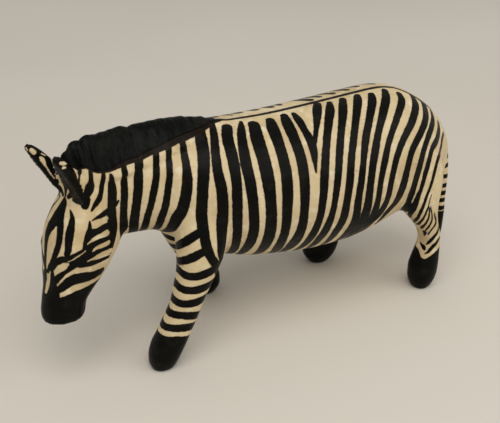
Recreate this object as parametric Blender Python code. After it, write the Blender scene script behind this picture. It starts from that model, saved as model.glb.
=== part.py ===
"""Zebra figurine, carved from one piece of wood: it walks with its head low and turned a little to its left.

Frame: the head is towards -X, the tail towards +X, the zebra's left side is at -Y, and it stands on Z = 0.
The origin is the centre of the underside of the figure's bounding box.
"""

import math

import bmesh
import bpy
import numpy as np

# Driving dimensions, in metres.
BACK_HEIGHT = 0.087  # floor to the top of the back
FOOT_SPREAD = 0.0395  # between the centres of a left and a right hoof
LEG_WIDTH = 0.0115  # across a leg below the knee
HOOF_WIDTH = 0.0124  # across a hoof
HEAD_WIDTH = 0.0215  # across the cheeks
MUZZLE_WIDTH = 0.0146  # across the muzzle
EAR_LENGTH = 0.0253
EAR_DEPTH = 0.0070  # from the front edge of an ear to its back edge
EAR_WIDTH = 0.0040  # across an ear
EAR_HOLLOW = 0.0016  # depth of the scoop along the front of an ear
EYE_LENGTH = 0.0086
MANE_LEDGE = 0.0018  # how far the mane stands out from the neck at its lower edge
MANE_GROOVE_DEPTH = 0.0010
MANE_GROOVE_PITCH = 0.0031
TAIL_WIDTH = 0.0044

# Pose, in degrees.
HEAD_TURN = 20.0  # to the zebra's left
EAR_LEAN = 29.0  # forwards from upright
EAR_SPLAY = 7.0  # outwards from upright
EAR_TWIST = 18.0  # front edge outwards

# Every table below is in units: the back is 87 of them high, so at this size a unit is a millimetre.
UNIT = BACK_HEIGHT / 87.0
RING_SIDES = 40  # points in each ring of a skin
TRUNK_STEP = 1.5  # between the rings of the trunk, in units
RING_STEP = 1.0  # between the rings of the head, the legs and the tail, in units
MANE_STEP = 0.5  # between the rings of the mane, in units
EAR_STEP = 0.04  # between the rings of an ear, as a share of its length
EYE_RINGS = 15
GRAIN = 0.75  # cell of the grid that the skins are fused on, in units
FACETS = 8800  # triangles that the finished solid keeps
SOFTENING = 5  # rounds of smoothing over the whole carving
JOIN_SOFTENING = 30  # further rounds where the legs, the head and the tail grow out of the body
CRUMB = 1.0  # loose bits smaller than this, in units, are what thinning the mesh leaves behind

NECK_PIVOT = -10.0  # where the head turns on the neck, along X, in units
NECK_RUN = 24.0  # length of neck that the turn is spread over, in units
BEND_REACH = 96.0  # how far ahead of the turn's start the bent line is worked out, in units
BEND_STEP = 0.25
BODY_SQUARENESS = 2.0  # 2 is an ellipse, more is squarer, and less is nearer a diamond
LEG_SQUARENESS = 2.3
EAR_SQUARENESS = 2.4
HOOF_TOP = 15.0  # height where the leg begins to widen into the hoof, in units
HOOF_BLEND = 5.0  # height that this takes, in units


def smooth_rows(stations, step):
    """Rows of numbers resampled every step of their first column, on a curve that never overshoots them."""
    rows = np.array(stations, float)
    at = rows[:, 0]
    gaps = np.diff(at)
    slopes = np.diff(rows, axis=0) / gaps[:, None]
    turn = slopes[:-1] * slopes[1:]
    inner = np.where(turn > 0, 2.0 * turn / np.where(turn > 0, slopes[:-1] + slopes[1:], 1.0), 0.0)
    tangents = np.vstack([slopes[:1], inner, slopes[-1:]])
    count = max(2, int(round(abs(at[-1] - at[0]) / step)) + 1)
    places = np.linspace(at[0], at[-1], count)
    order = np.sign(at[-1] - at[0])
    cell = np.clip(np.searchsorted(order * at, order * places, side="right") - 1, 0, len(gaps) - 1)
    t = ((places - at[cell]) / gaps[cell])[:, None]
    gap = gaps[cell][:, None]
    return (
        (2 * t**3 - 3 * t**2 + 1) * rows[cell]
        + (t**3 - 2 * t**2 + t) * gap * tangents[cell]
        + (3 * t**2 - 2 * t**3) * rows[cell + 1]
        + (t**3 - t**2) * gap * tangents[cell + 1]
    )


def oval(across, above, below, power=2.0):
    """Points round an outline: its half width, its half height above and below, and how square it is."""
    turn = np.arange(RING_SIDES) * 2.0 * math.pi / RING_SIDES
    cos, sin = np.cos(turn), np.sin(turn)
    side = across * np.sign(cos) * np.abs(cos) ** (2.0 / power)
    rise = np.where(sin > 0, above, below) * np.sign(sin) * np.abs(sin) ** (2.0 / power)
    return side, rise


def add_loft(bm, rings):
    """A closed skin over rings of points that all have the same count, with a flat cap at each end."""
    loops = [[bm.verts.new(point * UNIT) for point in ring] for ring in rings]
    count = len(loops[0])
    for low, high in zip(loops, loops[1:]):
        for k in range(count):
            after = (k + 1) % count
            bm.faces.new((low[k], low[after], high[after], high[k]))
    bm.faces.new(loops[0][::-1])
    bm.faces.new(loops[-1])


def turned(points):
    """Head points turned, as one rigid piece, about the upright axis through the neck."""
    angle = math.radians(HEAD_TURN)
    x = points[:, 0] - NECK_PIVOT
    y = points[:, 1]
    return np.column_stack([
        NECK_PIVOT + x * math.cos(angle) - y * math.sin(angle),
        x * math.sin(angle) + y * math.cos(angle),
        points[:, 2],
    ])


def bent(points):
    """Neck points carried round the same turn little by little, so that the neck curves into the head."""
    start = NECK_PIVOT + NECK_RUN / 2.0
    walk = np.arange(0.0, BEND_REACH, BEND_STEP)
    share = np.clip(walk / NECK_RUN, 0.0, 1.0)
    heading = math.radians(HEAD_TURN) * share * share * (3.0 - 2.0 * share)
    line_x = start - np.concatenate([[0.0], np.cumsum(np.cos(heading[:-1]) * walk[1])])
    line_y = -np.concatenate([[0.0], np.cumsum(np.sin(heading[:-1]) * walk[1])])
    forward = start - points[:, 0]
    angle = np.interp(forward, walk, heading)
    moved = points.copy()
    moved[:, 0] = np.interp(forward, walk, line_x) - points[:, 1] * np.sin(angle)
    moved[:, 1] = np.interp(forward, walk, line_y) + points[:, 1] * np.cos(angle)
    return np.where((forward > 0.0)[:, None], moved, points)


# x, top, underside, half width, height of the widest line
TRUNK = (
    (-22, 80, 62, 7.0, 71),
    (-16, 82, 53, 10.0, 68),
    (-6, 83.5, 50, 12.0, 67),
    (4, 84.5, 49.5, 14.0, 66),
    (12, 85.5, 45, 18.0, 63),
    (20, 86, 39, 21.5, 60),
    (30, 86.6, 34, 24.5, 57),
    (42, 86.1, 30, 26.2, 56),
    (55, 85.8, 27.5, 27.2, 56),
    (70, 86.1, 25.5, 27.7, 56),
    (82, 86.6, 25.3, 27.7, 56),
    (95, 87.3, 27, 27.2, 57),
    (105, 87.7, 30, 26.2, 58),
    (112, 86.9, 32.2, 24.9, 58),
    (118, 84.9, 34, 22.8, 58),
    (124, 81.7, 35, 20.1, 57),
    (129, 78.1, 36, 17.0, 56),
    (134, 73.3, 36.5, 13.5, 55),
    (138, 68.7, 37.5, 10.1, 54),
    (141, 64.0, 39, 7.1, 53),
    (143.4, 58.9, 41, 4.2, 51),
    (145, 54, 43, 2.0, 49),
)


def add_trunk(bm):
    """Barrel, rump and neck: upright rings along the body."""
    rings = []
    for x, top, underside, half_width, widest in smooth_rows(TRUNK, TRUNK_STEP):
        side, rise = oval(half_width, top - widest, widest - underside, BODY_SQUARENESS)
        rings.append(bent(np.column_stack([np.full(RING_SIDES, x), -side, widest + rise])))
    add_loft(bm, rings)


def trunk_half_width(x, z):
    """Half width of the trunk at x along the body and z up, above its widest line."""
    rows = smooth_rows(TRUNK, TRUNK_STEP)
    top, half_width, widest = (np.interp(x, rows[:, 0], rows[:, column]) for column in (1, 3, 4))
    rise = np.clip((z - widest) / (top - widest), 0.0, 1.0)
    return half_width * (1.0 - rise**BODY_SQUARENESS) ** (1.0 / BODY_SQUARENESS)


# height, front, back, share of HEAD_WIDTH, share of MUZZLE_WIDTH, how square the outline is
HEAD = (
    (85, -24, -12, 0.30, 0.0, 2.0),
    (82, -26, -8, 0.55, 0.0, 2.0),
    (77, -27.5, -4, 0.80, 0.0, 2.1),
    (72, -28.3, -2, 0.92, 0.0, 2.2),
    (67, -32.5, -2.5, 0.97, 0.0, 2.2),
    (60, -36.6, -4.5, 1.0, 0.0, 2.3),
    (53, -38.0, -7.5, 1.0, 0.0, 2.4),
    (46, -39.0, -12, 0.86, 0.08, 2.4),
    (40, -39.7, -17, 0.50, 0.42, 2.4),
    (35, -41.2, -22.6, 0.18, 0.79, 2.2),
    (32, -42.2, -25.0, 0.04, 0.96, 2.0),
    (29.5, -42.7, -25.6, 0.0, 1.03, 1.9),
    (27.6, -42.6, -25.9, 0.0, 1.03, 1.85),
    (26.8, -42.3, -26.4, 0.0, 1.01, 1.85),
)


def add_head(bm):
    """Level rings from the top of the head down to the flat end of the muzzle."""
    rings = []
    for z, front, back, cheek, muzzle, power in smooth_rows(HEAD, RING_STEP):
        half_width = (cheek * HEAD_WIDTH + muzzle * MUZZLE_WIDTH) / UNIT / 2.0
        side, rise = oval(half_width, (back - front) / 2.0, (back - front) / 2.0, power)
        ring = np.column_stack([(front + back) / 2.0 + rise, side, np.full(RING_SIDES, z)])
        rings.append(turned(ring))
    add_loft(bm, rings)


# height, front, back, share of FOOT_SPREAD, share of LEG_WIDTH and, in the hoof, of HOOF_WIDTH
LEFT_FORE_LEG = (
    (68, 13.5, 31, 0.50, 1.3),
    (60, 11.5, 31.5, 0.66, 1.5),
    (52, 9.8, 30.5, 0.79, 1.55),
    (46, 9.2, 28.5, 0.86, 1.46),
    (42, 8.9, 26.5, 0.91, 1.34),
    (37.7, 8.3, 24.0, 0.94, 1.22),
    (31.7, 6.6, 20.6, 0.97, 1.1),
    (25.6, 4.8, 17.2, 0.99, 1.03),
    (19.9, 1.7, 14.8, 1.0, 1.0),
    (14.2, -1.2, 11.9, 1.0, 1.02),
    (8.5, -4.3, 9.0, 1.0, 1.0),
    (4.5, -5.2, 6.8, 1.0, 0.96),
    (2, -5.2, 5.4, 1.0, 0.86),
    (0, -4.6, 4.2, 1.0, 0.70),
    (-1.5, -3.2, 2.6, 1.0, 0.38),
)
RIGHT_FORE_LEG = (
    (68, 13, 31, 0.50, 1.3),
    (60, 11.5, 31.5, 0.66, 1.5),
    (52, 11.5, 31.5, 0.79, 1.55),
    (46, 12.8, 31.5, 0.86, 1.44),
    (40, 15, 31.5, 0.92, 1.25),
    (32, 18.5, 33, 0.97, 1.08),
    (25, 22, 35.5, 0.99, 1.0),
    (18, 26, 38.5, 1.0, 1.0),
    (13, 28.5, 41.2, 1.0, 1.02),
    (8.5, 30, 43.0, 1.0, 1.0),
    (4.5, 30.9, 43.1, 1.0, 0.94),
    (2, 32.2, 41.9, 1.0, 0.79),
    (0, 33.9, 40.2, 1.0, 0.56),
    (-1.5, 35.6, 38.5, 1.0, 0.26),
)
LEFT_HIND_LEG = (
    (76, 106, 122, 0.42, 1.2),
    (68, 104, 126, 0.56, 1.5),
    (60, 103.5, 128.5, 0.70, 1.65),
    (52, 104.5, 129, 0.82, 1.62),
    (46, 106.5, 128, 0.88, 1.48),
    (41, 109, 126.7, 0.92, 1.35),
    (35, 113.5, 126.3, 0.95, 1.2),
    (30, 117.5, 127.0, 0.98, 1.05),
    (26, 119.8, 128.2, 0.99, 0.97),
    (22, 120.6, 128.6, 1.0, 0.93),
    (18, 119.6, 128.8, 1.0, 0.98),
    (14, 118.0, 128.9, 1.0, 1.02),
    (8.5, 116.6, 128.8, 1.0, 1.0),
    (4.5, 116.6, 128.0, 1.0, 0.95),
    (2, 117.2, 126.8, 1.0, 0.84),
    (0, 118.2, 125.4, 1.0, 0.68),
    (-1.5, 119.8, 124.0, 1.0, 0.36),
)
RIGHT_HIND_LEG = (
    (76, 106, 122, 0.42, 1.2),
    (68, 103.5, 125.5, 0.56, 1.5),
    (60, 102, 127.5, 0.70, 1.65),
    (52, 101.5, 127.5, 0.82, 1.62),
    (46, 101.5, 126, 0.88, 1.48),
    (41, 102, 124.5, 0.92, 1.35),
    (35, 102.5, 120, 0.95, 1.2),
    (29, 100.5, 115, 0.98, 1.05),
    (24, 97.5, 111, 0.99, 0.97),
    (19, 93.5, 107, 1.0, 0.95),
    (14, 89.6, 105.0, 1.0, 1.02),
    (8.5, 86.5, 103.8, 1.0, 1.0),
    (4.5, 86.8, 102.4, 1.0, 0.94),
    (2, 88.0, 100.6, 1.0, 0.82),
    (0, 89.6, 98.4, 1.0, 0.64),
    (-1.5, 91.4, 96.2, 1.0, 0.34),
)


def add_leg(bm, stations, side):
    """Level rings from inside the body down to the hoof; side is -1 on the left and 1 on the right."""
    rings = []
    for z, front, back, spread, width in smooth_rows(stations, RING_STEP):
        hoof = np.clip((HOOF_TOP - z) / HOOF_BLEND, 0.0, 1.0)
        half_width = width * (LEG_WIDTH * (1.0 - hoof) + HOOF_WIDTH * hoof) / UNIT / 2.0
        centre = side * spread * FOOT_SPREAD / UNIT / 2.0
        across, rise = oval(half_width, (back - front) / 2.0, (back - front) / 2.0, LEG_SQUARENESS)
        rings.append(np.column_stack([(front + back) / 2.0 + rise, centre + across, np.full(RING_SIDES, z)]))
    add_loft(bm, rings)


# x, crest, lower edge, share of the neck's width
MANE = (
    (-29.5, 84.0, 80.5, 0.25),
    (-28, 88.0, 79.8, 0.50),
    (-25, 90.2, 79.0, 0.72),
    (-21, 91.2, 78.0, 0.90),
    (-16, 91.4, 77.2, 1.0),
    (-10, 91.2, 77.0, 1.0),
    (-4, 91.2, 78.0, 1.0),
    (4, 91.4, 80.0, 1.0),
    (12, 91.5, 82.3, 1.0),
    (20, 90.9, 84.3, 1.0),
    (28, 89.2, 85.7, 0.9),
    (34, 87.6, 86.2, 0.5),
    (38, 86.5, 86.0, 0.2),
)
MANE_FULLNESS = 1.5  # 1 is a flat-sided roof, and more is rounder
MANE_ROOT = 3.0  # how deep the mane reaches into the neck, in units
MANE_ROOT_WIDTH = 0.6  # width of that root over the mane's own
GROOVE_SHARPNESS = 1.6  # 1 is a wave, and more is a narrower cut
GROOVE_SWAYS = ((0.22, 0.71, 0.0), (0.15, 1.9, 1.0))  # what makes the cuts uneven: size, pace and start


def groove(x):
    """0 on the ridges of the mane and 1 at the bottom of its cuts, which are a little uneven."""
    sway = sum(size * math.sin(x * pace + start) for size, pace, start in GROOVE_SWAYS)
    phase = x * UNIT / MANE_GROOVE_PITCH + sway
    return (0.5 - 0.5 * math.cos(2.0 * math.pi * phase)) ** GROOVE_SHARPNESS


def add_mane(bm):
    """A roof-shaped ridge on the neck, cut across by grooves, whose lower edge stands out as a ledge."""
    rings = []
    for x, crest, edge, share in smooth_rows(MANE, MANE_STEP):
        neck = trunk_half_width(max(x, TRUNK[1][0]), edge)
        half_width = share * (neck + MANE_LEDGE / UNIT)
        cut = MANE_GROOVE_DEPTH / UNIT * groove(x) * share
        lean = np.linspace(-1.0, 1.0, RING_SIDES)
        y = (half_width - 0.5 * cut) * lean
        rise = (crest - edge) * (1.0 - np.abs(lean) ** MANE_FULLNESS)
        roof = edge + rise - cut * (1.0 - 0.5 * np.abs(lean))
        y = np.append(y, [MANE_ROOT_WIDTH * half_width, -MANE_ROOT_WIDTH * half_width])
        z = np.append(roof, [edge - MANE_ROOT, edge - MANE_ROOT])
        rings.append(bent(np.column_stack([np.full(len(y), x), y, z])))
    add_loft(bm, rings)


# height, x of the centre, share of TAIL_WIDTH
TAIL = (
    (68, 134.5, 1.2),
    (62, 139.5, 1.2),
    (56, 142.8, 1.15),
    (48, 145.0, 1.05),
    (38, 146.0, 1.0),
    (27, 146.1, 0.95),
    (22, 145.9, 1.1),
    (15, 145.6, 1.15),
    (9, 145.5, 0.9),
    (5, 145.5, 0.4),
)


def add_tail(bm):
    rings = []
    for z, x, share in smooth_rows(TAIL, RING_STEP):
        half_width = TAIL_WIDTH / UNIT / 2.0 * share
        side, rise = oval(half_width, half_width, half_width)
        rings.append(np.column_stack([x + rise, side, np.full(RING_SIDES, z)]))
    add_loft(bm, rings)


# share of the ear's length, shares of its depth in front of its middle line and behind, share of its width
EAR = (
    (0.0, 0.17, 0.42, 0.50),
    (0.10, 0.24, 0.64, 0.78),
    (0.25, 0.29, 0.73, 0.95),
    (0.50, 0.31, 0.67, 1.0),
    (0.70, 0.29, 0.55, 0.96),
    (0.86, 0.25, 0.42, 0.80),
    (0.95, 0.19, 0.29, 0.56),
    (1.0, 0.11, 0.15, 0.30),
)
EAR_BASE = (-24.8, 4.8, 70.2)  # where the middle line of the right ear begins before the head turns, in units
SCOOP_WIDTH = 0.8  # width of the scoop over the ear's own


def add_ear(bm, side):
    """A leaf with a scoop along its front edge; side is -1 on the zebra's left and 1 on its right."""
    lean, splay, twist = (math.radians(angle) for angle in (EAR_LEAN, EAR_SPLAY, EAR_TWIST))
    along = np.array([-math.sin(lean), side * math.tan(splay), math.cos(lean)])
    along /= np.linalg.norm(along)
    outward = np.array([math.sin(twist), side * math.cos(twist), 0.0])
    outward -= along * outward.dot(along)
    outward /= np.linalg.norm(outward)
    backward = np.cross(outward, along) * side
    base = np.array([EAR_BASE[0], EAR_BASE[1] * side, EAR_BASE[2]])
    rings = []
    for reach, front, back, width in smooth_rows(EAR, EAR_STEP):
        half_width = width * EAR_WIDTH / UNIT / 2.0
        across, rise = oval(half_width, back * EAR_DEPTH / UNIT, front * EAR_DEPTH / UNIT, EAR_SQUARENESS)
        scoop = EAR_HOLLOW / UNIT * width * np.clip(1.0 - (across / half_width / SCOOP_WIDTH) ** 2, 0.0, 1.0)
        rise = np.where(rise < 0.0, rise + scoop, rise)
        centre = base + along * (EAR_LENGTH / UNIT * reach)
        rings.append(turned(centre + np.outer(across, outward) + np.outer(rise, backward)))
    add_loft(bm, rings)


EYE = (-33.5, 8.3, 54.4)  # centre of the right eye before the head turns, in units
EYE_SLANT = (0.55, 0.42, 0.50)  # from its front corner to its back corner, on the right
EYE_SHAPE = (0.30, 0.13)  # its height and its thickness over its length
EYE_OUTWARD = (-0.6, 0.8)  # which way the right eye looks: along X and along Y
EYE_END = 0.97  # where its end rings lie, as a share of its half length


def add_eye(bm, side):
    """A narrow almond that stands a little out of the side of the head."""
    along = np.array([EYE_SLANT[0], EYE_SLANT[1] * side, EYE_SLANT[2]])
    along /= np.linalg.norm(along)
    outward = np.array([EYE_OUTWARD[0], EYE_OUTWARD[1] * side, 0.0])
    outward -= along * outward.dot(along)
    outward /= np.linalg.norm(outward)
    upward = np.cross(along, outward)
    half_length = EYE_LENGTH / UNIT / 2.0
    rings = []
    for reach in np.linspace(-EYE_END, EYE_END, EYE_RINGS):
        swell = half_length * (1.0 - reach * reach)
        rise, out = oval(swell * EYE_SHAPE[0], swell * EYE_SHAPE[1] * 2.0, swell * EYE_SHAPE[1] * 2.0)
        centre = np.array([EYE[0], EYE[1] * side, EYE[2]]) + along * half_length * reach
        rings.append(turned(centre + np.outer(rise, upward) + np.outer(out, outward)))
    add_loft(bm, rings)


# x, distance from the middle plane, height and reach of the places where limbs grow out of the body
JOINS = (
    (19, 19, 53, 18),
    (113, 19, 53, 20),
    (-13, 11, 58, 10),
    (140, 0, 62, 7),
)


def positions(mesh):
    points = np.empty(len(mesh.vertices) * 3)
    mesh.vertices.foreach_get("co", points)
    return points.reshape(-1, 3)


def mark_joins(obj):
    """A vertex group that is 1 at the middle of each join and fades to 0 at its reach."""
    group = obj.vertex_groups.new(name="joins")
    points = positions(obj.data) / UNIT
    points[:, 1] = np.abs(points[:, 1])
    weight = np.zeros(len(points))
    for x, across, height, reach in JOINS:
        near = np.clip(1.0 - np.linalg.norm(points - (x, across, height), axis=1) / reach, 0.0, 1.0)
        weight = np.maximum(weight, np.sqrt(near))
    for index in np.flatnonzero(weight):
        group.add([int(index)], float(weight[index]), "REPLACE")
    return group


def applied(obj):
    """The object's mesh replaced by what its modifiers make of it."""
    bpy.context.view_layer.update()
    mesh = bpy.data.meshes.new_from_object(obj.evaluated_get(bpy.context.evaluated_depsgraph_get()))
    obj.modifiers.clear()
    obj.data = mesh


def fused(shells):
    """The overlapping skins made one, softened where they meet and brought down to FACETS triangles."""
    obj = bpy.data.objects.new("shells", shells)
    bpy.context.scene.collection.objects.link(obj)
    remesh = obj.modifiers.new("fuse", "REMESH")
    remesh.mode = "VOXEL"
    remesh.voxel_size = GRAIN * UNIT
    applied(obj)
    group = mark_joins(obj)
    soften = obj.modifiers.new("soften", "SMOOTH")
    soften.factor = 0.5
    soften.iterations = SOFTENING
    blend = obj.modifiers.new("blend", "SMOOTH")
    blend.factor = 0.5
    blend.iterations = JOIN_SOFTENING
    blend.vertex_group = group.name
    thin = obj.modifiers.new("thin", "DECIMATE")
    thin.ratio = min(1.0, FACETS / (2.0 * len(obj.data.polygons)))
    thin.use_collapse_triangulate = True
    applied(obj)
    mesh = obj.data
    bpy.data.objects.remove(obj)
    return mesh


def drop_crumbs(bm):
    """Bits of mesh that came loose when it was thinned, each smaller than a CRUMB, taken away."""
    left = set(bm.verts)
    crumbs = []
    while left:
        bit = {left.pop()}
        edge_of_bit = set(bit)
        while edge_of_bit:
            edge_of_bit = {e.other_vert(v) for v in edge_of_bit for e in v.link_edges} & left
            left -= edge_of_bit
            bit |= edge_of_bit
        spread = np.ptp([v.co for v in bit], axis=0).max()
        if spread < CRUMB * UNIT:
            crumbs.extend(bit)
    bmesh.ops.delete(bm, geom=crumbs, context="VERTS")


def cut_soles(bm):
    """The feet cut off flat at the floor."""
    everything = bm.verts[:] + bm.edges[:] + bm.faces[:]
    floor = {"plane_co": (0, 0, 0), "plane_no": (0, 0, -1)}
    found = bmesh.ops.bisect_plane(bm, geom=everything, clear_outer=True, **floor)
    edges = [e for e in found["geom_cut"] if isinstance(e, bmesh.types.BMEdge)]
    bmesh.ops.holes_fill(bm, edges=edges, sides=0)
    bmesh.ops.triangulate(bm, faces=bm.faces[:])


def painted_wood():
    material = bpy.data.materials.new("painted_wood")
    material.use_nodes = True
    shader = material.node_tree.nodes["Principled BSDF"]
    shader.inputs["Base Color"].default_value = (0.62, 0.56, 0.43, 1.0)
    shader.inputs["Roughness"].default_value = 0.38
    shader.inputs["Metallic"].default_value = 0.0
    return material


def carve():
    """The whole figure as one object, centred over the origin."""
    bm = bmesh.new()
    add_trunk(bm)
    add_head(bm)
    add_leg(bm, LEFT_FORE_LEG, -1)
    add_leg(bm, RIGHT_FORE_LEG, 1)
    add_leg(bm, LEFT_HIND_LEG, -1)
    add_leg(bm, RIGHT_HIND_LEG, 1)
    add_mane(bm)
    add_tail(bm)
    for side in (-1, 1):
        add_ear(bm, side)
        add_eye(bm, side)
    bmesh.ops.recalc_face_normals(bm, faces=bm.faces[:])
    shells = bpy.data.meshes.new("shells")
    bm.to_mesh(shells)
    bm.free()
    mesh = fused(shells)
    bm = bmesh.new()
    bm.from_mesh(mesh)
    drop_crumbs(bm)
    cut_soles(bm)
    bm.to_mesh(mesh)
    bm.free()
    mesh.name = "zebra"
    mesh.shade_smooth()
    mesh.materials.clear()
    mesh.materials.append(painted_wood())
    zebra = bpy.data.objects.new("zebra", mesh)
    points = positions(mesh)
    middle = (points.min(axis=0) + points.max(axis=0)) / 2.0
    zebra.location = (-middle[0], -middle[1], 0.0)
    bpy.context.scene.collection.objects.link(zebra)


def main():
    for obj in list(bpy.data.objects):
        bpy.data.objects.remove(obj)
    carve()


main()
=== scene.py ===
"""The looks of the carved zebra: its finer carving, its painted stripes, the camera and the light."""

import math

import bmesh
import bpy
import numpy as np
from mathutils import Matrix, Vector
from mathutils.bvhtree import BVHTree


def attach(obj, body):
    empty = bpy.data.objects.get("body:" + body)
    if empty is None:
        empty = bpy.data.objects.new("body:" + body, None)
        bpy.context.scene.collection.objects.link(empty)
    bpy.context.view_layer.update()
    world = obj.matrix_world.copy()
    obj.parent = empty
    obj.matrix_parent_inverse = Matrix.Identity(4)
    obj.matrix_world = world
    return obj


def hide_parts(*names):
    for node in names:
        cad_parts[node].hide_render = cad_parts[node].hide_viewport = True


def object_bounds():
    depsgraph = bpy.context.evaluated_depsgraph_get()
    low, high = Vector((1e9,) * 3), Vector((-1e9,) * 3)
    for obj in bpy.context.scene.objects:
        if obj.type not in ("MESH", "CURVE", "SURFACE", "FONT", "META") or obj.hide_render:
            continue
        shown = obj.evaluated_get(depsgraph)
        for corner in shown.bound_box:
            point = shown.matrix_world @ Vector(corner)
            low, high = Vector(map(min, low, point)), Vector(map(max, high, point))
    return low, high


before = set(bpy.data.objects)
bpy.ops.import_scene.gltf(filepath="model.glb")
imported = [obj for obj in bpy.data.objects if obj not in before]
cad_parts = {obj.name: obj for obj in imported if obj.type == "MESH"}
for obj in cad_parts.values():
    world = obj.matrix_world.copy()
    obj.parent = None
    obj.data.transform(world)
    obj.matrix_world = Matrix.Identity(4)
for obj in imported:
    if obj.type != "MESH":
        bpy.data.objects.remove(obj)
CAD_LOW, CAD_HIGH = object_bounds()

# Every table is in units: the figure is 189.18 of them long, so at this size a unit is a millimetre.
FIGURE_LENGTH = 189.18
UNIT = (CAD_HIGH[0] - CAD_LOW[0]) / FIGURE_LENGTH
MIDDLE_X = 53.6  # where the middle of the figure's box lies in the tables' own frame, in units

# The carving, in units.
FOOT_SPREAD = 39.5
LEG_WIDTH = 11.5
HOOF_WIDTH = 12.4
HEAD_WIDTH = 21.5
MUZZLE_WIDTH = 14.6
EAR_LENGTH = 25.3
EAR_DEPTH = 7.0
EAR_WIDTH = 4.0
EAR_HOLLOW = 1.6
EYE_LENGTH = 8.6
MANE_LEDGE = 1.8
LOCK_PITCH = 3.6  # between two locks of the mane
LOCK_DEPTH = 0.6  # how far a lock stands out from the ridge under it
LOCK_THICKNESS = 0.08  # a lock's half thickness, before it is stretched to its size
TAIL_WIDTH = 4.4

# Pose, in degrees.
HEAD_TURN = 20.0
EAR_LEAN = 29.0
EAR_SPLAY = 7.0
EAR_TWIST = 18.0

RING_SIDES = 64
RING_STEP = 0.7  # between the rings of a skin
EAR_STEP = 0.02  # between the rings of an ear, as a share of its length
COLUMN_STEP = 0.5  # how finely a table is read between its rows
EYE_RINGS = 21
GRAIN = 0.84  # cell of the grid that the skins are fused on
SOFTENING = 4  # rounds of smoothing over the whole carving
JOIN_SOFTENING = 26  # further rounds where limbs grow out of the body
SOFTENING_SHARE = 0.5  # how far one round moves a point towards its neighbours
JOIN_LEVELS = 20  # steps from a join's middle to its reach
FINE_ROUNDS = 2  # how often the mesh is made finer along narrow strokes
FINE_ERROR = 0.07  # how far, in units, the paint at an edge's middle may be from the mean of its ends
FINE_REACH = 0.5  # how near to a stroke's edge that is looked at

NECK_PIVOT = -10.0  # where the head turns on the neck, along x
NECK_RUN = 24.0  # length of neck that the turn is spread over
BEND_REACH = 4.0 * NECK_RUN  # how far ahead of the turn's start the bent line is worked out
BEND_POINTS = 400
UNBEND_ROUNDS = 6
LEG_SQUARENESS = 2.3  # 2 is an ellipse, and more is squarer
EAR_SQUARENESS = 2.4
HOOF_TOP = 15.0  # height where a leg begins to widen into its hoof
HOOF_BLEND = 5.0  # height that this takes


def smooth_rows(stations, step):
    """Rows of numbers resampled every step of their first column, on a curve that never overshoots them."""
    rows = np.array(stations, float)
    at = rows[:, 0]
    gaps = np.diff(at)
    slopes = np.diff(rows, axis=0) / gaps[:, None]
    turn = slopes[:-1] * slopes[1:]
    inner = np.where(turn > 0, 2.0 * turn / np.where(turn > 0, slopes[:-1] + slopes[1:], 1.0), 0.0)
    tangents = np.vstack([slopes[:1], inner, slopes[-1:]])
    count = max(2, int(round(abs(at[-1] - at[0]) / step)) + 1)
    places = np.linspace(at[0], at[-1], count)
    order = np.sign(at[-1] - at[0])
    cell = np.clip(np.searchsorted(order * at, order * places, side="right") - 1, 0, len(gaps) - 1)
    t = ((places - at[cell]) / gaps[cell])[:, None]
    gap = gaps[cell][:, None]
    return (
        (2 * t**3 - 3 * t**2 + 1) * rows[cell]
        + (t**3 - 2 * t**2 + t) * gap * tangents[cell]
        + (3 * t**2 - 2 * t**3) * rows[cell + 1]
        + (t**3 - t**2) * gap * tangents[cell + 1]
    )


def column(stations, index):
    """One column of a table as a function of its first column."""
    rows = smooth_rows(stations, COLUMN_STEP)
    order = np.argsort(rows[:, 0])
    at, values = rows[order, 0], rows[order, index]
    return lambda place: np.interp(place, at, values)


def oval(across, above, below, power=2.0):
    """Points round an outline: its half width, its half height above and below, and how square it is."""
    turn = np.arange(RING_SIDES) * 2.0 * math.pi / RING_SIDES
    cos, sin = np.cos(turn), np.sin(turn)
    side = across * np.sign(cos) * np.abs(cos) ** (2.0 / power)
    rise = np.where(sin > 0, above, below) * np.sign(sin) * np.abs(sin) ** (2.0 / power)
    return side, rise


def add_loft(bm, rings):
    """A closed skin over rings of points that all have the same count, with a flat cap at each end."""
    loops = [[bm.verts.new(point) for point in ring] for ring in rings]
    count = len(loops[0])
    for low, high in zip(loops, loops[1:]):
        for k in range(count):
            after = (k + 1) % count
            bm.faces.new((low[k], low[after], high[after], high[k]))
    bm.faces.new(loops[0][::-1])
    bm.faces.new(loops[-1])


def turned(points, back=False):
    """Head points turned about the upright axis through the neck, or turned back."""
    angle = math.radians(-HEAD_TURN if back else HEAD_TURN)
    x = points[:, 0] - NECK_PIVOT
    y = points[:, 1]
    return np.column_stack([
        NECK_PIVOT + x * math.cos(angle) - y * math.sin(angle),
        x * math.sin(angle) + y * math.cos(angle),
        points[:, 2],
    ])


NECK_START = NECK_PIVOT + NECK_RUN / 2.0
NECK_WALK = np.linspace(0.0, BEND_REACH, BEND_POINTS)
NECK_SHARE = np.clip(NECK_WALK / NECK_RUN, 0.0, 1.0)
NECK_HEADING = math.radians(HEAD_TURN) * NECK_SHARE * NECK_SHARE * (3.0 - 2.0 * NECK_SHARE)
NECK_X = NECK_START - np.concatenate([[0.0], np.cumsum(np.cos(NECK_HEADING[:-1]) * NECK_WALK[1])])
NECK_Y = -np.concatenate([[0.0], np.cumsum(np.sin(NECK_HEADING[:-1]) * NECK_WALK[1])])


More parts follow.
